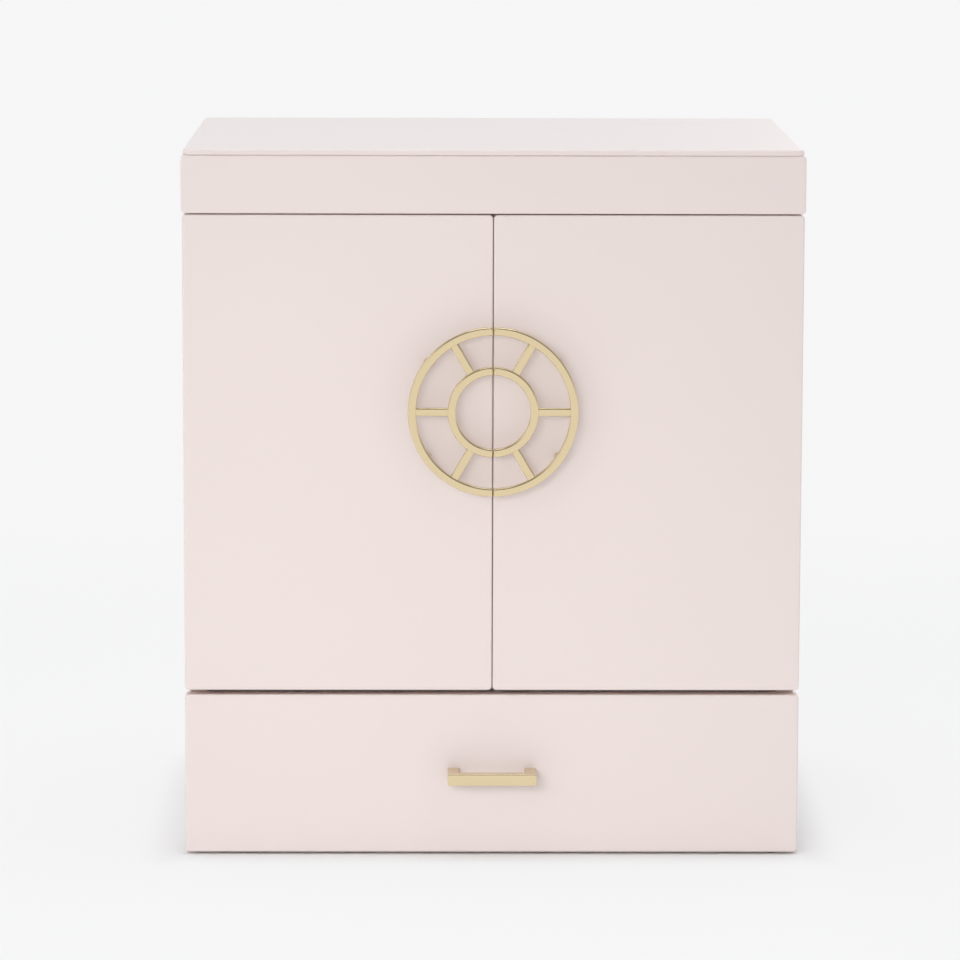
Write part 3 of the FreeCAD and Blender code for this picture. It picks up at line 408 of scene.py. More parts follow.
base_felt = velvet_like("base_felt", (0.120, 0.085, 0.070), (0.240, 0.180, 0.150), 0.2, 0.00025)
low, high = span("base_felt")
bm = cube(low, high)
soften(bm, pick(bm, runs_along(2)), 4.0 * mm, 6)
soften(bm, pick(bm, lies_at(2, low.z)), 0.35 * mm, 2)
settle(draw("felt_sheet", bm, base_felt), "base_felt")

# Bays behind the doors
# Boards with rounded noses, covered in blush velvet, on thin velvet sheets glued to the case.
# The cotton pile is lighter where it has been stroked one way, and shines at a low angle.

velvet = velvet_like("velvet", (0.610, 0.440, 0.405), (0.800, 0.640, 0.600), 0.55, 0.00012)
for name, nose in (("bay_partition", 1.6), ("lower_shelf", 2.4), ("upper_shelf", 2.4),
                   ("tray_deck", 0.5)):
    low, high = span(name)
    bm = cube(low, high)
    soften(bm, pick(bm, lambda e: lies_at(1, low.y)(e)), nose * mm, 5)
    settle(draw(name + "_covered", bm, velvet), name)

low, high = span("bay_lining")
sheet = 0.8 * mm
lowest = low.z + sheet
bm = block(low, Vector((high.x, high.y, lowest)), 0.25 * mm, 2)
join(bm, block(Vector((low.x, high.y - sheet, lowest)), high, 0.25 * mm, 2))
for x in (low.x, high.x - sheet):
    upright = block(Vector((x, low.y, lowest)), Vector((x + sheet, high.y - sheet, high.z)),
                    0.25 * mm, 2)
    join(bm, upright)
settle(draw("bay_velvet", bm, velvet), "bay_lining")

# Necklace rail
# A square bar of champagne brass on two flanged posts, riveted up under the tray. Its hooks
# are flat strip, bent over a former, brushed so finely that the strokes only soften what
# they mirror, and polished round at every edge.

made, place = start_shader("champagne_brass")
strokes = noise_at(stretched(place, 900.0, 900.0, 5200.0), 1.0, 4.0, 0.6)
patches = noise_at(place, 45.0, 3.0)
tone = between(patches, (0.800, 0.658, 0.412), (0.825, 0.682, 0.437))
brass = end_shader(made, place, tone, strokes * 0.06 + patches * 0.03 + 0.14, strokes, 0.000002,
                   {"Metallic": 1.0})


def close_skin(bm, rings):
    """Joins rings of as many points each, one after the other, and closes both ends."""
    for one, two in zip(rings, rings[1:]):
        for i in range(len(one)):
            j = (i + 1) % len(one)
            bm.faces.new((one[i], one[j], two[j], two[i]))
    bm.faces.new(rings[0])
    bm.faces.new(list(reversed(rings[-1])))
    return bm


def sweep(path, normal, wide, thick, soft):
    """A rounded strip along a flat path: wide across the path's plane, thick within it."""
    corner = [math.radians(a) for a in (0, 30, 60, 90)]
    count = len(path)
    tangents = [(path[min(i + 1, count - 1)] - path[max(i - 1, 0)]).normalized() for i in range(count)]
    stops = [(path[i], tangents[i], 0.0) for i in range(1, count - 1)]
    for phase in reversed(corner):
        inset = soft * (1 - math.sin(phase)) * 0.98
        along = soft * (1 - math.cos(phase))
        stops.insert(0, (path[0] + tangents[0] * along, tangents[0], inset))
        stops.append((path[-1] - tangents[-1] * along, tangents[-1], inset))
    bm = bmesh.new()
    rings = []
    for spot, tangent, inset in stops:
        across = normal.cross(tangent)
        round_r = soft - inset
        a, b = wide / 2 - inset - round_r, thick / 2 - inset - round_r
        ring = []
        for quarter, (sa, sb) in enumerate(((1, 1), (-1, 1), (-1, -1), (1, -1))):
            for t in corner:
                turn = t + quarter * math.pi / 2
                offset = (sa * a + round_r * math.cos(turn), sb * b + round_r * math.sin(turn))
                ring.append(bm.verts.new(spot + normal * offset[0] + across * offset[1]))
        rings.append(ring)
    return close_skin(bm, rings)


def arc(centre, radius, start, end, across, up, steps=14):
    """Points of an arc in the plane of two directions, from angle start to end."""
    turns = [start + (end - start) * i / steps for i in range(steps + 1)]
    return [centre + across * radius * math.cos(t) + up * radius * math.sin(t) for t in turns]


X, Y, Z = Vector((1, 0, 0)), Vector((0, 1, 0)), Vector((0, 0, 1))


def rivet(radius, height):
    """A low domed head, its flat side on the plane z = 0."""
    dome = [(radius * math.cos(t), height * math.sin(t)) for t in
            [math.radians(a) for a in (0, 20, 40, 60, 78)]]
    return lathe([(0, -height), (radius, -height), *dome, (0, height)], 20)


bend = 4 * mm


def hook(path):
    """An open hook of flat strip, bent in the plane of Y and Z."""
    return sweep(path, X, 3 * mm, 1.2 * mm, 0.4 * mm)


half_bar, flange, hook_pitch = 2 * mm, 6 * mm, 20 * mm

low, high = span("necklace_rail")
rail_z = high.z - 15 * mm
post_y = high.y - flange
posts = (low.x + flange, high.x - flange)
bm = block(Vector((posts[0] - half_bar, post_y - half_bar, rail_z - half_bar)),
           Vector((posts[1] + half_bar, post_y + half_bar, rail_z + half_bar)), 0.5 * mm)
for x in posts:
    join(bm, block(Vector((x - half_bar, post_y - half_bar, rail_z - 1.9 * mm)),
                   Vector((x + half_bar, post_y + half_bar, high.z - 0.4 * mm)), 0.5 * mm))
    join(bm, block(Vector((x - flange, post_y - flange, high.z - 1.5 * mm)),
                   Vector((x + flange, post_y + flange, high.z)), 0.5 * mm))
    for dx in (-4, 4):
        spot = Matrix.Translation((x + dx * mm, post_y, high.z - 1.5 * mm))
        join(bm, rivet(1.3 * mm, 0.5 * mm), spot @ Matrix.Rotation(math.pi, 4, "X"))
middle = (posts[0] + posts[1]) / 2
for i in range(5):
    top = Vector((middle + (i - 2) * hook_pitch, post_y, rail_z))
    turn = top + Vector((0, -bend, -9 * mm))
    path = [top, top - Z * bend, *arc(turn, bend, 0, -math.pi, Y, Z), turn + Vector((0, -bend, bend))]
    join(bm, hook(path))
settle(draw("rail_with_hooks", bm, brass), "necklace_rail")

# Drawer runners
# Two plain beech strips with eased edges, waxed and glued to the sides of the case. The
# drawer slides on them.

made, place = start_shader("runner_wood")
grain = noise_at(stretched(place, 420.0, 16.0, 420.0), 1.0, 5.0, 0.6)
flecks = noise_at(stretched(place, 1800.0, 200.0, 1800.0), 1.0, 2.0)
tone = between(grain * 0.8 + flecks * 0.2, (0.480, 0.270, 0.130), (0.700, 0.470, 0.270))
beech = end_shader(made, place, tone, grain * 0.2 + 0.42, grain, 0.00006)

bm = bmesh.new()
for low, high in solids("drawer_runners"):
    join(bm, block(low, high, 0.6 * mm))
settle(draw("beech_runners", bm, beech), "drawer_runners")

# Magnets and strikes
# Small bright steel blocks. The magnets are let into the front rail of the tray, and each
# door carries a strike plate in a shallow seat.

made, place = start_shader("steel")
strokes = noise_at(stretched(place, 300.0, 300.0, 3600.0), 1.0, 4.0, 0.6)
patches = noise_at(place, 80.0, 3.0)
tone = between(patches, (0.50, 0.50, 0.51), (0.62, 0.62, 0.63))
steel = end_shader(made, place, tone, strokes * 0.2 + 0.2, strokes, 0.00001, {"Metallic": 1.0})

for name in ("door_magnets", "left_door_strike", "right_door_strike"):
    bm = bmesh.new()
    for low, high in solids(name):
        join(bm, block(low, high, 0.35 * mm, 2))
    settle(draw(name + "_plate", bm, steel), name)

# Ring tray
# A velvet tray with egg-crate dividers. The long divider runs through, and the cross
# dividers butt against it.


def open_tray(node):
    """A lined well: thin walls with rounded rims, its floor meeting them in a soft cove."""
    wall = 0.8 * mm
    low, high = span(node)
    bm = cube(low, high)
    top = max(bm.faces, key=lambda f: f.calc_center_median().z)
    bmesh.ops.inset_region(bm, faces=[top], thickness=wall, use_even_offset=True)
    floor = max(bm.faces, key=lambda f: (f.calc_center_median().z > high.z - 1e-6) * f.calc_area())
    out = bmesh.ops.extrude_face_region(bm, geom=[floor])
    bmesh.ops.delete(bm, geom=[floor], context="FACES_ONLY")
    moved = [v for v in out["geom"] if isinstance(v, bmesh.types.BMVert)]
    bmesh.ops.translate(bm, verts=moved, vec=(0, 0, low.z + wall - high.z))
    soften(bm, pick(bm, lies_at(2, low.z + wall)), 1.4 * mm, 4)
    soften(bm, pick(bm, lies_at(2, high.z)), 0.3 * mm, 2)
    return bm


settle(draw("tray_well", open_tray("tray_lining"), velvet), "tray_lining")
rim = 1.3 * mm
divider = block(*span("tray_long_divider"), rim, 4)
settle(draw("long_divider", divider, velvet), "tray_long_divider")
bm = bmesh.new()
for low, high in solids("tray_cross_dividers"):
    join(bm, block(low, high, rim, 4))
settle(draw("cross_dividers", bm, velvet), "tray_cross_dividers")

# Ring rolls
# Foam rods in velvet sleeves, each sewn along its back. They fill the front left quarter of
# the tray, and the slits between them hold rings.


def soft_roll(low, high, number):
    """A velvet roll: fat, a little uneven, flat below, with rounded ends and a seam behind."""
    radius = (high.y - low.y) / 2
    centre_y = (low.y + high.y) / 2
    axis_z = high.z - radius
    bm = bmesh.new()
    rings = []
    long = high.x - low.x
    end, around = 3.2 * mm, 48
    stops = [(1 - math.cos(math.radians(a))) * end for a in range(0, 91, 15)]
    inner = [end + (long - 2 * end) * i / 44 for i in range(1, 44)]
    for along in (*stops, *inner, *[long - s for s in reversed(stops)]):
        reach = min(along, long - along, end) / end
        close = 1 - 0.42 * (1 - math.sqrt(max(0.0, 1 - (1 - reach) ** 2)))
        ring = []
        for i in range(around):
            t = math.tau * i / around
            wave = noise.noise(Vector((along * 60, math.cos(t) * 1.3, math.sin(t) * 1.3 + number * 7)))
            seam = math.exp(-((t - 1.9) / 0.09) ** 2)
            r = radius * close * (0.985 - 0.02 * abs(wave) - 0.03 * seam)
            z = axis_z + r * math.sin(t)
            ring.append(bm.verts.new((low.x + along, centre_y + r * math.cos(t), max(z, low.z))))
        rings.append(ring)
    return close_skin(bm, rings)


for number, (low, high) in enumerate(solids("ring_rolls"), start=1):
    roll = draw("ring_roll_%d" % number, soft_roll(low, high, number), velvet, crisp=False)
    settle(roll, "ring_rolls")

# Fronts
# The lid's front, the doors and the drawer front: boards wrapped like the case, with tighter
# outline corners and full front edges. The walls of the gaps between them are painted a warmer,
# darker leather, as painted shade in the gaps. Their backs are bored and cut for screws, hinges and
# strikes.

# Painted shade: a darker, warmer leather for the faces inside the gaps between the fronts, where shade
# falls.
gap_shade_leather = leather("painted_gap_shade_leather", (0.770, 0.620, 0.570), (0.805, 0.660, 0.610))


def paint_gap_shade(piece):
    """Paints the faces that stand across the front, the walls of the gaps, a warmer and darker leather:
    painted shade.
    """
    piece.data.materials.append(gap_shade_leather)
    for face in piece.data.polygons:
        face.material_index = int(abs(face.normal.y) < 0.3)
    return piece


def front_panel(node):
    """A wrapped board, rounder along its face than along its back."""
    low, high = span(node)
    bm = cube(low, high)
    soften(bm, pick(bm, runs_along(1)), 1.9 * mm, 7)
    soften(bm, pick(bm, lies_at(1, low.y)), 1.0 * mm, 5)
    soften(bm, pick(bm, lies_at(1, high.y)), 0.5 * mm, 2)
    return paint_gap_shade(draw(node + "_wrapped", bm, blush))


def along_y(x, y, z):
    """Lays a turned shape down, with its axis along Y, at a place."""
    return Matrix.Translation((x, y, z)) @ Matrix.Rotation(-math.pi / 2, 4, "X")


hole_radius, recess_radius, recess_depth = 1.35 * mm, 3.1 * mm, 2.4 * mm


def screw_seats(node, front, back):
    """The hole and the hexagon recess of each screw that passes through a front."""
    past = back + 1 * mm
    tools = []
    for low, high in solids(node):
        place = along_y((low.x + high.x) / 2, 0, (low.z + high.z) / 2)
        for radius, start, around in ((hole_radius, front - 1 * mm, 24),
                                      (recess_radius, back - recess_depth, 6)):
            tool = lathe([(0, start), (radius, start), (radius, past), (0, past)], around)
            tools.append(join(bmesh.new(), tool, place))
    return tools


settle(front_panel("lid_front_board"), "lid_front_board")
low, high = span("drawer_front")
settle(carve(front_panel("drawer_front"), screw_seats("handle_screws", low.y, high.y)), "drawer_front")
for name, side in (("left", -1), ("right", 1)):
    node = name + "_door_panel"
    low, high = span(node)
    pins = [pin for pin in door_pins if pin[0].x * side > 0]
    tools = hinge_cutters(pins, high.y - leaf_depth, high.y + 1 * mm)
    tools += screw_seats(name + "_pull_screws", low.y, high.y)
    strike = span(name + "_door_strike")
    tools.append(cube(strike[0], strike[1] + Y * mm))
    settle(carve(front_panel(node), tools), node)

# Lid
# A wrapped frame under a thin wrapped plate. Inside, a velvet liner carries a bevelled
# mirror of silvered glass in a slim brass frame, mitred at the corners.

low, high = span("lid_plate")
bm = cube(low, high)
soften(bm, pick(bm, runs_along(2)), 2.8 * mm, 7)
soften(bm, pick(bm, lies_at(2, high.z)), 1.2 * mm, 5)
soften(bm, pick(bm, lies_at(2, low.z)), 0.5 * mm, 2)
settle(draw("top_plate", bm, blush), "lid_plate")

for name, side in (("lid_left_rail", -1), ("lid_right_rail", 1)):
    low, high = span(name)
    bm = cube(low, high)
    outer = low.x if side < 0 else high.x
    rear = pick(bm, lambda e: runs_along(2)(e) and lies_at(0, outer)(e) and lies_at(1, high.y)(e))
    soften(bm, rear, back_corner, 6)
    soften(bm, pick(bm, lies_at(2, low.z)), arris, 3)
    settle(draw(name + "_wrapped", bm, blush), name)

settle(draw("lid_velvet", block(*span("lid_liner"), 0.8 * mm), velvet), "lid_liner")

made, place = start_shader("mirror_glass")
smudge = noise_at(place, 18.0, 5.0, 0.6)
mirror_glass = end_shader(made, place, between(smudge, (0.86, 0.88, 0.88), (0.90, 0.91, 0.91)),
                          smudge * 0.03 + 0.005, None, 0.0, {"Metallic": 1.0})
low, high = span("lid_mirror")
bm = cube(low, high)
soften(bm, pick(bm, lies_at(2, low.z)), 1.0 * mm, 1)
settle(draw("bevelled_mirror", bm, mirror_glass), "lid_mirror")


def framed(low, high, border, lip, thick):
    """A picture frame of one moulding, mitred at the corners, face down."""
    bm = bmesh.new()
    section = [(0, thick), (0, 0.9 * mm), (0.3 * mm, 0.35 * mm), (0.9 * mm, 0)]
    section += [(border * 0.45, 0.0), (border * 0.5, 0.35 * mm), (border * 0.55, 0.35 * mm),
                (border * 0.6, 0)]
    inner = border + lip
    section += [(inner - 0.9 * mm, 0), (inner - 0.3 * mm, 0.2 * mm), (inner, 0.5 * mm),
                (inner, 0.95 * mm)]
    section += [(border - 0.2 * mm, 0.95 * mm), (border - 0.2 * mm, thick)]
    corners = []
    for sx, sy in ((0, 0), (1, 0), (1, 1), (0, 1)):
        corner = []
        for reach, depth in section:
            x = high.x - reach if sx else low.x + reach
            y = high.y - reach if sy else low.y + reach
            corner.append(bm.verts.new((x, y, low.z + depth)))
        corners.append(corner)
    for i in range(4):
        one, two = corners[i], corners[(i + 1) % 4]
        for k in range(len(section)):
            m = (k + 1) % len(section)
            bm.faces.new((one[k], two[k], two[m], one[m]))
    return bm


low, high = span("mirror_frame")
moulding = framed(low, high, border=12 * mm, lip=3 * mm, thick=high.z - low.z)
settle(draw("brass_mirror_frame", moulding, brass), "mirror_frame")

# Hinges
# Small brass butt hinges: two leaves with rounded corners, three bored knuckles and a plain
# steel pin. Each leaf is let into its board and fixed with two low round heads.

Leaf = namedtuple("Leaf", "length reach thick barrel gap plate_from bore")


def hinge_leaf(pin, leaf_out, board_way, run, knuckles, size):
    """One leaf. The pin is the middle of its axis, and the three directions are unit vectors."""
    length, reach, thick, barrel, gap, plate_from, bore = size
    turn = Matrix((leaf_out, board_way, run)).transposed().to_4x4()
    place = Matrix.Translation(pin) @ turn
    bm = cube(Vector((plate_from, gap, -length / 2)), Vector((reach, gap + thick, length / 2)))
    outer = pick(bm, lambda e: runs_along(1)(e) and lies_at(0, reach)(e))
    soften(bm, outer, 1.2 * mm, 4)
    x = (plate_from + reach) / 2 + 0.4 * mm
    for z in (-length * 0.3, length * 0.3):
        head = lathe([(0, 0), (1.5 * mm, 0), (1.5 * mm, 0.12 * mm), (1.35 * mm, 0.2 * mm),
                      (0.5 * mm, 0.24 * mm), (0, 0.24 * mm)], 24)
        spot = Matrix.Translation((x, gap, z)) @ Matrix.Rotation(math.pi / 2, 4, "X")
        join(bm, head, spot @ Matrix.Translation((0, 0, -0.1 * mm)))
    for low, high in knuckles:
        low, high = low * length, high * length
        join(bm, cube(Vector((bore, gap, low)), Vector((plate_from + 0.2 * mm, gap + thick, high))))
        join(bm, drum(barrel, low, high, 0.2 * mm, bore))
    bm.transform(place)
    return bm


door_size = Leaf(length=26 * mm, reach=8.4 * mm, thick=0.8 * mm, barrel=1.25 * mm, gap=0.25 * mm,
                 plate_from=1.5 * mm, bore=0.67 * mm)
lid_size = Leaf(length=34 * mm, reach=9 * mm, thick=1.0 * mm, barrel=1.75 * mm, gap=0.25 * mm,
                plate_from=2.0 * mm, bore=0.87 * mm)


def end_knuckles(play):
    """Where the two outer knuckles start and stop, as shares of the length."""
    return [(-0.5, -1 / 6 - play), (1 / 6 + play, 0.5)]


middle_knuckle = [(-1 / 6, 1 / 6)]
door_play, lid_play = 0.0077, 0.0059
case_leaves = bmesh.new()
for name, side in (("left", -1), ("right", 1)):
    door_leaves = bmesh.new()
    for low, high in door_pins:
        if low.x * side < 0:
            continue
        pin = (low + high) / 2
        join(case_leaves, hinge_leaf(pin, X * -side, Y, Z, end_knuckles(door_play), door_size))
        join(door_leaves, hinge_leaf(pin, X * -side, -Y, Z, middle_knuckle, door_size))
    settle(draw(name + "_hinge_halves", door_leaves, brass), name + "_door_hinge_leaves")
settle(draw("case_hinge_halves", case_leaves, brass), "case_hinge_leaves")

lower = bmesh.new()
upper = bmesh.new()
for low, high in lid_pins:
    pin = (low + high) / 2
    join(lower, hinge_leaf(pin, -Y, -Z, X, end_knuckles(lid_play), lid_size))
    join(upper, hinge_leaf(pin, -Y, Z, X, middle_knuckle, lid_size))
settle(draw("lid_hinge_lower_halves", lower, brass), "lid_hinge_lower_leaves")
settle(draw("lid_hinge_upper_halves", upper, brass), "lid_hinge_upper_leaves")

for node, pins, turn in (("door_hinge_pins", door_pins, Matrix()),
                         ("lid_hinge_pins", lid_pins, Matrix.Rotation(math.pi / 2, 4, "Y"))):
    bm = bmesh.new()
    for low, high in pins:
        size = high - low
        half, radius = max(size) / 2, min(size) / 2
        join(bm, drum(radius, -half, half, 0.25 * mm), Matrix.Translation((low + high) / 2) @ turn)
    settle(draw(node + "_turned", bm, steel), node)

# Ring pull
# Two flat brass rings joined by short bars, made whole and sawn down the middle, so that
# each door carries one half on two posts. The screws come from inside the door.

sawn, half_rim, inner_r, thick = 0.22 * mm, 2 * mm, 20 * mm, 3.6 * mm
bar_deep, bar_wide = 2.6 * mm, 4 * mm
post_r, foot_r = 1.6 * mm, 1.8 * mm
low, high = span("left_door_pull")
ring_centre = Vector((0, low.y + thick / 2, (low.z + high.z) / 2))
outer_r = (high.z - low.z) / 2
panel_face = span("left_door_panel")[0].y
for name, side in (("left", -1), ("right", 1)):
    bm = bmesh.new()
    out = X * side
    for radius, steps in ((outer_r - half_rim, 60), (inner_r, 36)):
        reach = math.acos(sawn / radius)
        path = arc(ring_centre, radius, -reach, reach, out, Z, steps)
        join(bm, sweep(path, Y, thick, 2 * half_rim, 0.8 * mm))
    for degrees in (-60, 0, 60):
        t = math.radians(degrees)
        way = out * math.cos(t) + Z * math.sin(t)
        path = [ring_centre + way * r for r in (20.5 * mm, 25 * mm, 33 * mm, outer_r - 2.5 * mm)]
        join(bm, sweep(path, Y, bar_deep, bar_wide, 0.7 * mm))
    for degrees in (-36, 36):
        t = math.radians(degrees)
        spot = ring_centre + (out * math.cos(t) + Z * math.sin(t)) * (outer_r - half_rim)
        back = panel_face - spot.y
        profile = [(0, 0), (post_r, 0), (post_r, back - 0.8 * mm), (foot_r, back), (0, back)]
        join(bm, lathe(profile, 32), along_y(*spot))
    settle(draw(name + "_half_ring", bm, brass), name + "_door_pull")

# Drawer handle
# A square bar of champagne brass, bent sharp at both ends so that its legs stand on the
# drawer front as posts. Its edges are lightly eased and polished.

low, high = span("drawer_handle")
post, bar = 5.6 * mm, 5.0 * mm
bm = bmesh.new()
outline = [(low.x, high.y), (low.x, low.y), (high.x, low.y), (high.x, high.y), (high.x - post, high.y),
           (high.x - post, low.y + bar), (low.x + post, low.y + bar), (low.x + post, high.y)]
face = bm.faces.new([bm.verts.new((x, y, low.z)) for x, y in outline])
out = bmesh.ops.extrude_face_region(bm, geom=[face])
bmesh.ops.translate(bm, verts=[v for v in out["geom"] if isinstance(v, bmesh.types.BMVert)],
                    vec=(0, 0, high.z - low.z))
soften(bm, pick(bm, lambda e: not lies_at(1, high.y)(e)), 0.45 * mm, 3)
settle(draw("bar_handle", bm, brass), "drawer_handle")

# Screws
# Steel screws that hold the pulls and the handle from behind. Each has a plain shank and a
# chamfered hexagon head, sunk in the back of its front.

head_radius, head_height, shank_radius = 2.75 * mm, 1.6 * mm, 1.23 * mm
for node in ("left_pull_screws", "right_pull_screws", "handle_screws"):
    bm = bmesh.new()
    for low, high in solids(node):
        place = along_y((low.x + high.x) / 2, 0, (low.z + high.z) / 2)
        seat = high.y - head_height
        head = lathe([(0, seat), (head_radius, seat), (head_radius, high.y - 0.3 * mm),
                      (head_radius - 0.45 * mm, high.y), (0, high.y)], 6)
        join(bm, head, place)
        join(bm, drum(shank_radius, low.y, high.y - head_height / 2, 0.3 * mm), place)
    settle(draw(node + "_turned", bm, steel), node)

# Door linings
# Velvet over thin wadding on a stiff card, glued inside each door. A sewn border draws the
# padding down, and its thread lies in the groove stitch by stitch.

made, place = start_shader("thread")
twist = noise_at(place, 3000.0, 2.0)
thread = end_shader(made, place, between(twist, (0.62, 0.47, 0.43), (0.82, 0.70, 0.66)),
                    twist * 0.2 + 0.6, twist, 0.00008)


def stitch_tree():
    """Geometry nodes that lay a stitch at every step along a seam."""
    tree = bpy.data.node_groups.new("stitches", "GeometryNodeTree")
    face = tree.interface
    face.new_socket("Seam", in_out="INPUT", socket_type="NodeSocketGeometry")
    for name, size in (("Pitch", 3.2 * mm), ("Stitch", 2.3 * mm), ("Thread", 0.5 * mm)):
        face.new_socket(name, in_out="INPUT", socket_type="NodeSocketFloat").default_value = size
    face.new_socket("Finish", in_out="INPUT", socket_type="NodeSocketMaterial")
    face.new_socket("Thread row", in_out="OUTPUT", socket_type="NodeSocketGeometry")
    add = tree.nodes.new
    given, result = add("NodeGroupInput"), add("NodeGroupOutput")
    line, points = add("GeometryNodeMeshToCurve"), add("GeometryNodeCurveToPoints")
    ball, shape = add("GeometryNodeMeshUVSphere"), add("ShaderNodeCombineXYZ")
    laid, whole = add("GeometryNodeInstanceOnPoints"), add("GeometryNodeRealizeInstances")
    smooth, finish = add("GeometryNodeSetShadeSmooth"), add("GeometryNodeSetMaterial")
    points.mode = "LENGTH"
    for name, value in (("Segments", 8), ("Rings", 6), ("Radius", 0.5)):
        ball.inputs[name].default_value = value
    for start, leaving, end, entering in (
            (given, "Seam", line, "Mesh"), (line, "Curve", points, "Curve"),
            (given, "Pitch", points, "Length"), (given, "Thread", shape, "X"),
            (given, "Thread", shape, "Y"), (given, "Stitch", shape, "Z"),
            (points, "Points", laid, "Points"), (ball, "Mesh", laid, "Instance"),
            (points, "Rotation", laid, "Rotation"), (shape, "Vector", laid, "Scale"),
            (laid, "Instances", whole, "Geometry"), (whole, "Geometry", smooth, "Geometry"),
            (smooth, "Geometry", finish, "Geometry"), (given, "Finish", finish, "Material"),
            (finish, "Geometry", result, "Thread row")):
        tree.links.new(start.outputs[leaving], end.inputs[entering])
    return tree


stitches = stitch_tree()


def stitch(name, seam, body):
    """A row of thread along a closed line of points."""
    bm = bmesh.new()
    verts = [bm.verts.new(p) for p in seam]
    for one, two in zip(verts, verts[1:] + verts[:1]):
        bm.edges.new((one, two))
    row = draw(name, bm, thread)
    change = row.modifiers.new("stitches", "NODES")
    change.node_group = stitches
    for item in stitches.interface.items_tree:
        if item.in_out == "INPUT" and item.name == "Finish":
            change[item.identifier] = thread
    apply_modifiers(row)
    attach(row, body)
    return row


def rounded_loop(low, high, inset, corner, level):
    """A rounded rectangle in the XZ plane, inset from the edges of a pad, at one y level."""
    points = []
    x0, x1, z0, z1 = low.x + inset, high.x - inset, low.z + inset, high.z - inset
    spots = ((x1 - corner, z1 - corner, 0), (x0 + corner, z1 - corner, 90),
             (x0 + corner, z0 + corner, 180), (x1 - corner, z0 + corner, 270))
    for x, z, start in spots:
        for a in (0, 22.5, 45, 67.5, 90):
            t = math.radians(start + a)
            points.append(Vector((x + corner * math.cos(t), level, z + corner * math.sin(t))))
    return points


def weave(bm, grid):
    """Faces between rows of as many points each."""
    for one, two in zip(grid, grid[1:]):
        for i in range(len(one) - 1):
            bm.faces.new((one[i], one[i + 1], two[i + 1], two[i]))


seam_inset, seam_depth, rim_radius = 6 * mm, 0.55 * mm, 1.4 * mm
for name in ("left", "right"):
    node = name + "_door_lining"
    low, high = span(node)
    bm = bmesh.new()
    columns, rows = 96, 128
    top = []
    for j in range(rows + 1):
        line = []
        for i in range(columns + 1):
            x = low.x + (high.x - low.x) * i / columns
            z = low.z + (high.z - low.z) * j / rows
            edge = min(x - low.x, high.x - x, z - low.z, high.z - z)
            near = min(edge / rim_radius, 1.0)
            round_off = 1.3 * mm * (1 - math.sqrt(max(0.0, 1 - (1 - near) ** 2)))
            groove = seam_depth * math.exp(-((edge - seam_inset) / (0.75 * mm)) ** 2)
            waver = abs(noise.noise(Vector((x * 38, z * 38, 4.0)))) * 0.12 * mm * min(1, edge / 0.01)
            line.append(bm.verts.new((x, high.y - 0.1 * mm - round_off - groove - waver, z)))
        top.append(line)
    weave(bm, top)
    outline = [*top[0], *[row[-1] for row in top[1:]], *reversed(top[-1][:-1]),
               *[row[0] for row in reversed(top[1:-1])]]
    base = [bm.verts.new((v.co.x, low.y, v.co.z)) for v in outline]
    for i in range(len(outline)):
        j = (i + 1) % len(outline)
        bm.faces.new((outline[i], outline[j], base[j], base[i]))
    bm.faces.new(base)
    pad = settle(draw(node + "_padded", bm, velvet, crisp=False), node)
    seam = rounded_loop(low, high, seam_inset, 3 * mm, high.y - seam_depth)
    stitch(name + "_lining_stitches", seam, name + "_door")

# Hook strips
# A polished brass strip with four open hooks for necklaces, riveted through each door
# lining near the top.

for name in ("left", "right"):
    low, high = span(name + "_hook_plate")
    face_y = low.y + 2 * mm
    middle_x, middle_z = (low.x + high.x) / 2, low.z + 6 * mm
    bm = cube(low, Vector((high.x, face_y, low.z + 12 * mm)))
    soften(bm, pick(bm, runs_along(1)), 2 * mm, 5)
    soften(bm, pick(bm, lies_at(1, face_y)), 0.5 * mm, 3)
    for dx in (-47, 47):
        join(bm, rivet(1.7 * mm, 0.7 * mm), along_y(middle_x + dx * mm, face_y, middle_z))
    for i in range(4):
        root = Vector((middle_x + (i - 1.5) * 24 * mm, low.y + 1 * mm, middle_z))
        turn = root + Vector((0, 11 * mm, bend))
        path = [root, turn - Z * bend - Y * 3 * mm, *arc(turn, bend, -math.pi / 2, 0, Y, Z),
                turn + Vector((0, bend, bend))]
        join(bm, hook(path))
    settle(draw(name + "_hook_strip", bm, brass), name + "_hook_plate")

# Door pouches
# A pocket of stretch satin, gathered on an elastic along its mouth and into the seam along
# its bottom. It stands open at the mouth and bellies out below.

made, place = start_shader("pouch_satin")
ribs = noise_at(stretched(place, 2400.0, 300.0, 2400.0), 1.0, 2.0)
tone = between(noise_at(place, 35.0, 3.0), (0.700, 0.540, 0.505), (0.800, 0.650, 0.610))
satin = end_shader(made, place, tone, ribs * 0.16 + 0.42, ribs, 0.00006, {"Sheen Weight": 0.3})


def pouch_depth(u, v, belly, mouth):
    """How far the cloth stands off the lining: u across from 0 to 1, v up from 0 to 1."""
    rise = math.sin(min(v / 0.42, 1.0) * math.pi / 2) ** 0.6
    fall = 1 - (1 - mouth / belly) * max(0.0, (v - 0.3) / 0.7) ** 1.25
    side = (1 - abs(2 * u - 1) ** 7) ** 0.5
    return belly * rise * fall * side


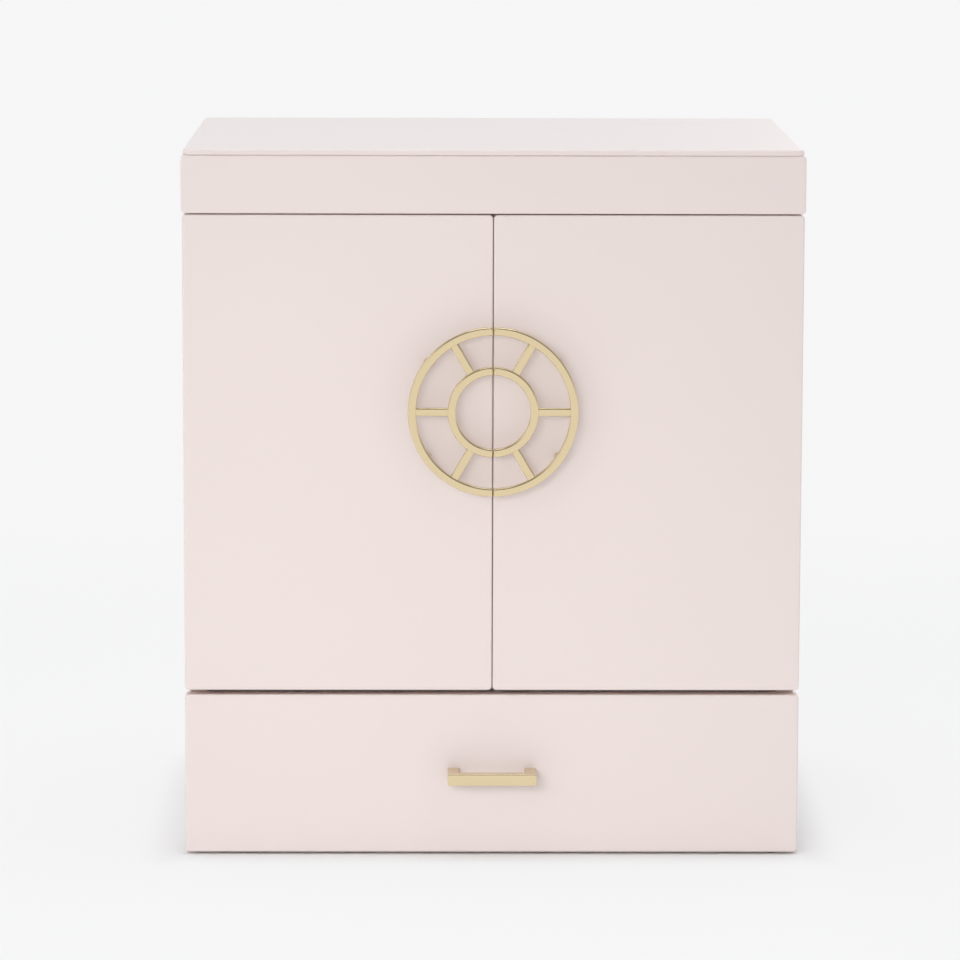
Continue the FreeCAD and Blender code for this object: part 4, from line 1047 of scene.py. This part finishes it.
flat_tall = 0.064
for name in ("left", "right"):
    low, high = span(name + "_door_pouch")
    wide, tall, belly = high.x - low.x, high.z - low.z, high.y - low.y - 0.9 * mm
    columns, rows = 260, 60
    bm = bmesh.new()
    grid = []
    for j in range(rows + 1):
        v = j / rows
        line = []
        for i in range(columns + 1):
            u = i / columns
            gather = 0.75 * mm * max(0.0, (v - 0.45) / 0.55) ** 1.5 + 0.35 * mm * max(0.0, 1 - v / 0.3)
            phase = u * 34 + 1.3 * noise.noise(Vector((u * 9, v * 1.5, 2.0)))
            ripple = gather * math.sin(math.tau * phase) * min(1.0, 12 * min(u, 1 - u))
            slump = 0.3 * mm * noise.noise(Vector((u * 7, v * 4, 9.0)))
            off = max(0.25 * mm, pouch_depth(u, v, belly, 5 * mm) + ripple + slump)
            drop = 1.6 * mm * math.sin(math.pi * u) * v
            line.append(bm.verts.new((low.x + wide * u, low.y + off, low.z + tall * v - drop)))
        grid.append(line)
    weave(bm, grid)
    area = sum(face.calc_area() for face in bm.faces)
    bag = draw(name + "_pouch", bm, satin, crisp=False)
    shell = bag.modifiers.new("cloth", "SOLIDIFY")
    shell.thickness = 0.6 * mm
    shell.offset = 0
    apply_modifiers(bag)
    settle(bag, name + "_door_pouch")
    area / flat_tall

# Drawer
# Velvet-covered box boards behind the front, the sides grooved for the runners. Inside lie
# a velvet well with rounded rims and crossed dividers.

play, open_side = 0.3 * mm, 5 * mm
for name in ("drawer_left_side", "drawer_right_side"):
    low, high = span(name)
    piece = draw(name + "_covered", block(low, high, 0.8 * mm), velvet)
    one, two = min(solids("drawer_runners"), key=lambda s: abs(s[0].x - low.x) + abs(s[1].x - high.x))
    groove_low = Vector((one.x - (open_side if low.x < 0 else play), one.y - play, one.z - play))
    groove_high = Vector((two.x + (play if low.x < 0 else open_side), high.y + 1 * mm, two.z + play))
    settle(carve(piece, [cube(groove_low, groove_high)]), name)
for name in ("drawer_back", "drawer_bottom"):
    settle(draw(name + "_covered", block(*span(name), 0.6 * mm), velvet), name)
settle(draw("drawer_well", open_tray("drawer_lining"), velvet), "drawer_lining")
bm = bmesh.new()
for low, high in solids("drawer_dividers"):
    join(bm, block(low, high, rim, 4))
settle(draw("drawer_crossings", bm, velvet), "drawer_dividers")

# Bracelet pillows
# Velvet covers sewn round the middle and stuffed firm, one in each compartment of the
# drawer. The cover is blown up from inside, and its seam draws short creases into it.


def stuff(piece, voxel, pressure, cap, held):
    """Blows a sewn cover up from inside. Points that are held stay, and none moves past cap."""
    even = piece.modifiers.new("even", "REMESH")
    even.mode = "VOXEL"
    even.voxel_size = voxel
    apply_modifiers(piece)
    home = [v.co.copy() for v in piece.data.vertices]
    sewn = piece.vertex_groups.new(name="sewn")
    sewn.add([i for i, spot in enumerate(home) if held(spot)], 1.0, "REPLACE")
    cloth = piece.modifiers.new("cloth", "CLOTH")
    cover = cloth.settings
    cover.quality = 6
    cover.mass = 0.2
    cover.tension_stiffness = cover.compression_stiffness = 12.0
    cover.bending_stiffness = 0.3
    cover.vertex_group_mass = "sewn"
    cover.use_pressure = True
    cover.uniform_pressure_force = pressure
    cover.effector_weights.gravity = 0
    cloth.point_cache.frame_end = 20
    for frame_number in range(1, 21):
        bpy.context.scene.frame_set(frame_number)
    apply_modifiers(piece)
    for vert, start in zip(piece.data.vertices, home):
        move = vert.co - start
        if move.length > cap:
            vert.co = start + move * (cap / move.length)
    bpy.context.scene.frame_set(1)
    piece.vertex_groups.clear()
    return piece


def pillow(low, high, number):
    """The sewn cover of a pillow before it is stuffed: two crowned halves and a flat base."""
    middle = (low + high) / 2
    half = (high - low) / 2 - Vector((1.9, 1.9, 1.4)) * mm
    bm = bmesh.new()
    bmesh.ops.create_cube(bm, size=2.0)
    bmesh.ops.subdivide_edges(bm, edges=list(bm.edges), cuts=31, use_grid_fill=True)
    for vert in bm.verts:
        n = Vector([abs(c) for c in vert.co])
        p = vert.co / (n.x ** 5 + n.y ** 5 + n.z ** 3.2) ** (1 / 4)
        p = Vector([max(-1.0, min(1.0, c)) for c in p])
        pull = 1 - 0.05 * (p.x * p.y) ** 2 + 0.012 * noise.noise(p * 2 + X * number)
        vert.co = middle + Vector((p.x * pull * half.x, p.y * pull * half.y, p.z * half.z))
    return bm


def gathered(piece, low, level):
    """Short creases that run out of the seam, as velvet makes where it is drawn in."""
    spots = [(v.co.copy(), v.normal.copy()) for v in piece.data.vertices]
    for vert, (spot, outward) in zip(piece.data.vertices, spots):
        away = abs(spot.z - level)
        crease = noise.noise(Vector((spot.x * 330, spot.y * 330, spot.z * 40)))
        dimple = noise.noise(spot * 55) * 0.5
        depth = 0.9 * mm * crease * math.exp(-away / (6 * mm)) + dimple * mm
        seam = 1.0 * mm * math.exp(-(away / (1.1 * mm)) ** 2)
        spot = spot + outward * (depth - seam)
        vert.co = Vector((spot.x, spot.y, max(spot.z, low.z)))


for number, (low, high) in enumerate(solids("bracelet_pillows"), start=1):
    level = low.z + (high.z - low.z) * 0.66
    soft = draw("bracelet_pillow_%d" % number, pillow(low, high, number), velvet, crisp=False)
    stuff(soft, voxel=1.6 * mm, pressure=6.0, cap=2.6 * mm,
          held=lambda spot: abs(spot.z - level) < 1.0 * mm)
    finer = soft.modifiers.new("finer", "SUBSURF")
    finer.levels = finer.render_levels = 1
    apply_modifiers(soft)
    gathered(soft, low, level)
    soft.data.materials.clear()
    soft.data.materials.append(velvet)
    soft.data.shade_smooth()
    settle(soft, "bracelet_pillows")

# Finishes of the solids
# Every CAD node takes the finish of its slot, whether or not a drawn piece stands for it.

finishes = {"blush_leather": blush, "velvet": velvet, "champagne_brass": brass, "steel": steel,
            "runner_wood": beech, "base_felt": base_felt, "mirror_glass": mirror_glass}
for node, shape in frame["nodes"].items():
    shape.data.materials.clear()
    shape.data.materials.append(finishes[slot_of[node]])

# Table top
# A pale matt top without an end. It is lit by the lamps near the cabinet, where the shadow
# falls, and plain farther off.


def along_axis(place, axis):
    """One of the three numbers of a place or a direction."""
    return place.node("ShaderNodeSeparateXYZ", {}, {0: place}, out=axis)


def rising(value, start, stop, top=1.0):
    """Grows smoothly from 0 to top while the value runs from start to stop."""
    return value.node("ShaderNodeMapRange", {"interpolation_type": "SMOOTHSTEP"},
                      {"Value": value, "From Min": start, "From Max": stop, "To Max": top})


half_wide, half_deep = 0.145, 0.1
made, place = start_shader("table_top")
beyond = place.math("MAXIMUM", place.math("ABSOLUTE", along_axis(place, 0)) - half_wide,
                    place.math("ABSOLUTE", along_axis(place, 1)) - half_deep)
soon = rising(beyond, 0.003, 0.03, 0.8)
late = rising(beyond, 0.25, 0.9, 0.2)
lit = place.node("ShaderNodeBsdfDiffuse", {}, {"Color": (0.87, 0.87, 0.87, 1.0)})
plain = place.node("ShaderNodeEmission", {}, {"Color": (0.925, 0.925, 0.928, 1.0)})
mixed = place.node("ShaderNodeMixShader", {}, {0: soon + late, 1: lit, 2: plain})
place.node("ShaderNodeOutputMaterial", {}, {"Surface": mixed})
bm = bmesh.new()
bmesh.ops.create_grid(bm, x_segments=1, y_segments=1, size=40.0)
floor = draw("table", bm, made)
floor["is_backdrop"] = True

# Room
# White walls, brightest behind the cabinet. Polished faces mirror a room that is pale at
# the level of the table and dark overhead, and the camera sees one plain wall.

world = bpy.data.worlds.new("studio")
bpy.context.scene.world = world
world.use_nodes = True
world.node_tree.nodes.clear()
sky = Wire(world.node_tree)
seen = sky.node("ShaderNodeLightPath")
mirrored = sky.node("ShaderNodeLightPath", out=3)
way = sky.node("ShaderNodeTexCoord")
back = rising(along_axis(way, 1), -0.7, 0.4)
height = rising(along_axis(way, 2), -0.1, 0.3)
room, dark, wall, behind = [
    sky.node("ShaderNodeBackground", {}, {"Color": (*color, 1.0), "Strength": strength})
    for color, strength in (((1.0, 0.985, 0.975), 0.58), ((1.0, 0.985, 0.975), 0.22),
                            ((0.98, 0.99, 1.0), 0.89), ((0.93, 0.93, 0.932), 1.0))]
dim = sky.node("ShaderNodeMixShader", {}, {0: height, 1: behind, 2: dark})
room = sky.node("ShaderNodeMixShader", {}, {0: mirrored, 1: room, 2: dim})
around = sky.node("ShaderNodeMixShader", {}, {0: back, 1: room, 2: wall})
all_round = sky.node("ShaderNodeMixShader", {}, {0: seen, 1: around, 2: behind})
sky.node("ShaderNodeOutputWorld", {}, {"Surface": all_round})

# Lamps
# A large soft window high on the left, one behind, light from the ceiling, and a weak fill
# in front that polished faces don't mirror.


def lamp(name, spot, aim, size, power, tint):
    """A soft rectangular lamp that the camera doesn't see."""
    light = bpy.data.lights.new(name, "AREA")
    light.shape = "RECTANGLE"
    light.size, light.size_y = size
    light.energy = power
    light.color = tint
    holder = bpy.data.objects.new(name, light)
    bpy.context.scene.collection.objects.link(holder)
    holder.location = spot
    holder.rotation_euler = (Vector(aim) - Vector(spot)).to_track_quat("-Z", "Y").to_euler()
    holder.visible_camera = False
    holder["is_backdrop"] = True


lamp("window_left", (-1.6, -1.7, 1.0), (0, -0.1, 0.2), (1.3, 1.0), 4.2, (1.0, 0.99, 0.98))
lamp("overhead", (0.0, -0.1, 2.1), (0, 0, 0.3), (1.2, 1.0), 9.6, (0.86, 0.95, 1.0))
lamp("back_window", (0.9, 2.2, 0.9), (0, 0.1, 0.2), (1.2, 1.2), 3.0, (1.0, 0.985, 0.97))
lamp("front_fill", (-0.28, -1.3, 0.46), (-0.03, -0.1, 0.02), (0.5, 0.3), 0.52, (1.0, 0.99, 0.99))
bpy.data.objects["front_fill"].visible_glossy = False
bpy.data.lights["front_fill"].spread = 1.0

# Camera
# A long lens a little above the cabinet, fitted to the corners of the fronts and of the top
# in the photograph.

camera = bpy.data.cameras.new("camera")
camera.lens = 168.136
camera.sensor_width = 36.0
camera.shift_y = -0.05
camera.clip_end = 100.0
holder = bpy.data.objects.new("camera", camera)
bpy.context.scene.collection.objects.link(holder)
pitch, yaw, roll = 0.1423, 0.0098, 0.0028
ahead = Vector((math.sin(yaw) * math.cos(pitch), math.cos(yaw) * math.cos(pitch), -math.sin(pitch)))
right = Vector((math.cos(yaw), -math.sin(yaw), 0))
up = right.cross(ahead)
right, up = right * math.cos(roll) + up * math.sin(roll), up * math.cos(roll) - right * math.sin(roll)
turn = Matrix((right, up, -ahead)).transposed()
holder.matrix_world = Matrix.Translation((-0.02732, -2.25510, 0.51764)) @ turn.to_4x4()
bpy.context.scene.camera = holder
bpy.context.scene.view_settings.view_transform = "Standard"

plain = [[list(corner) for corner in bounds] for bounds in (bounds_at_start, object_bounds())]
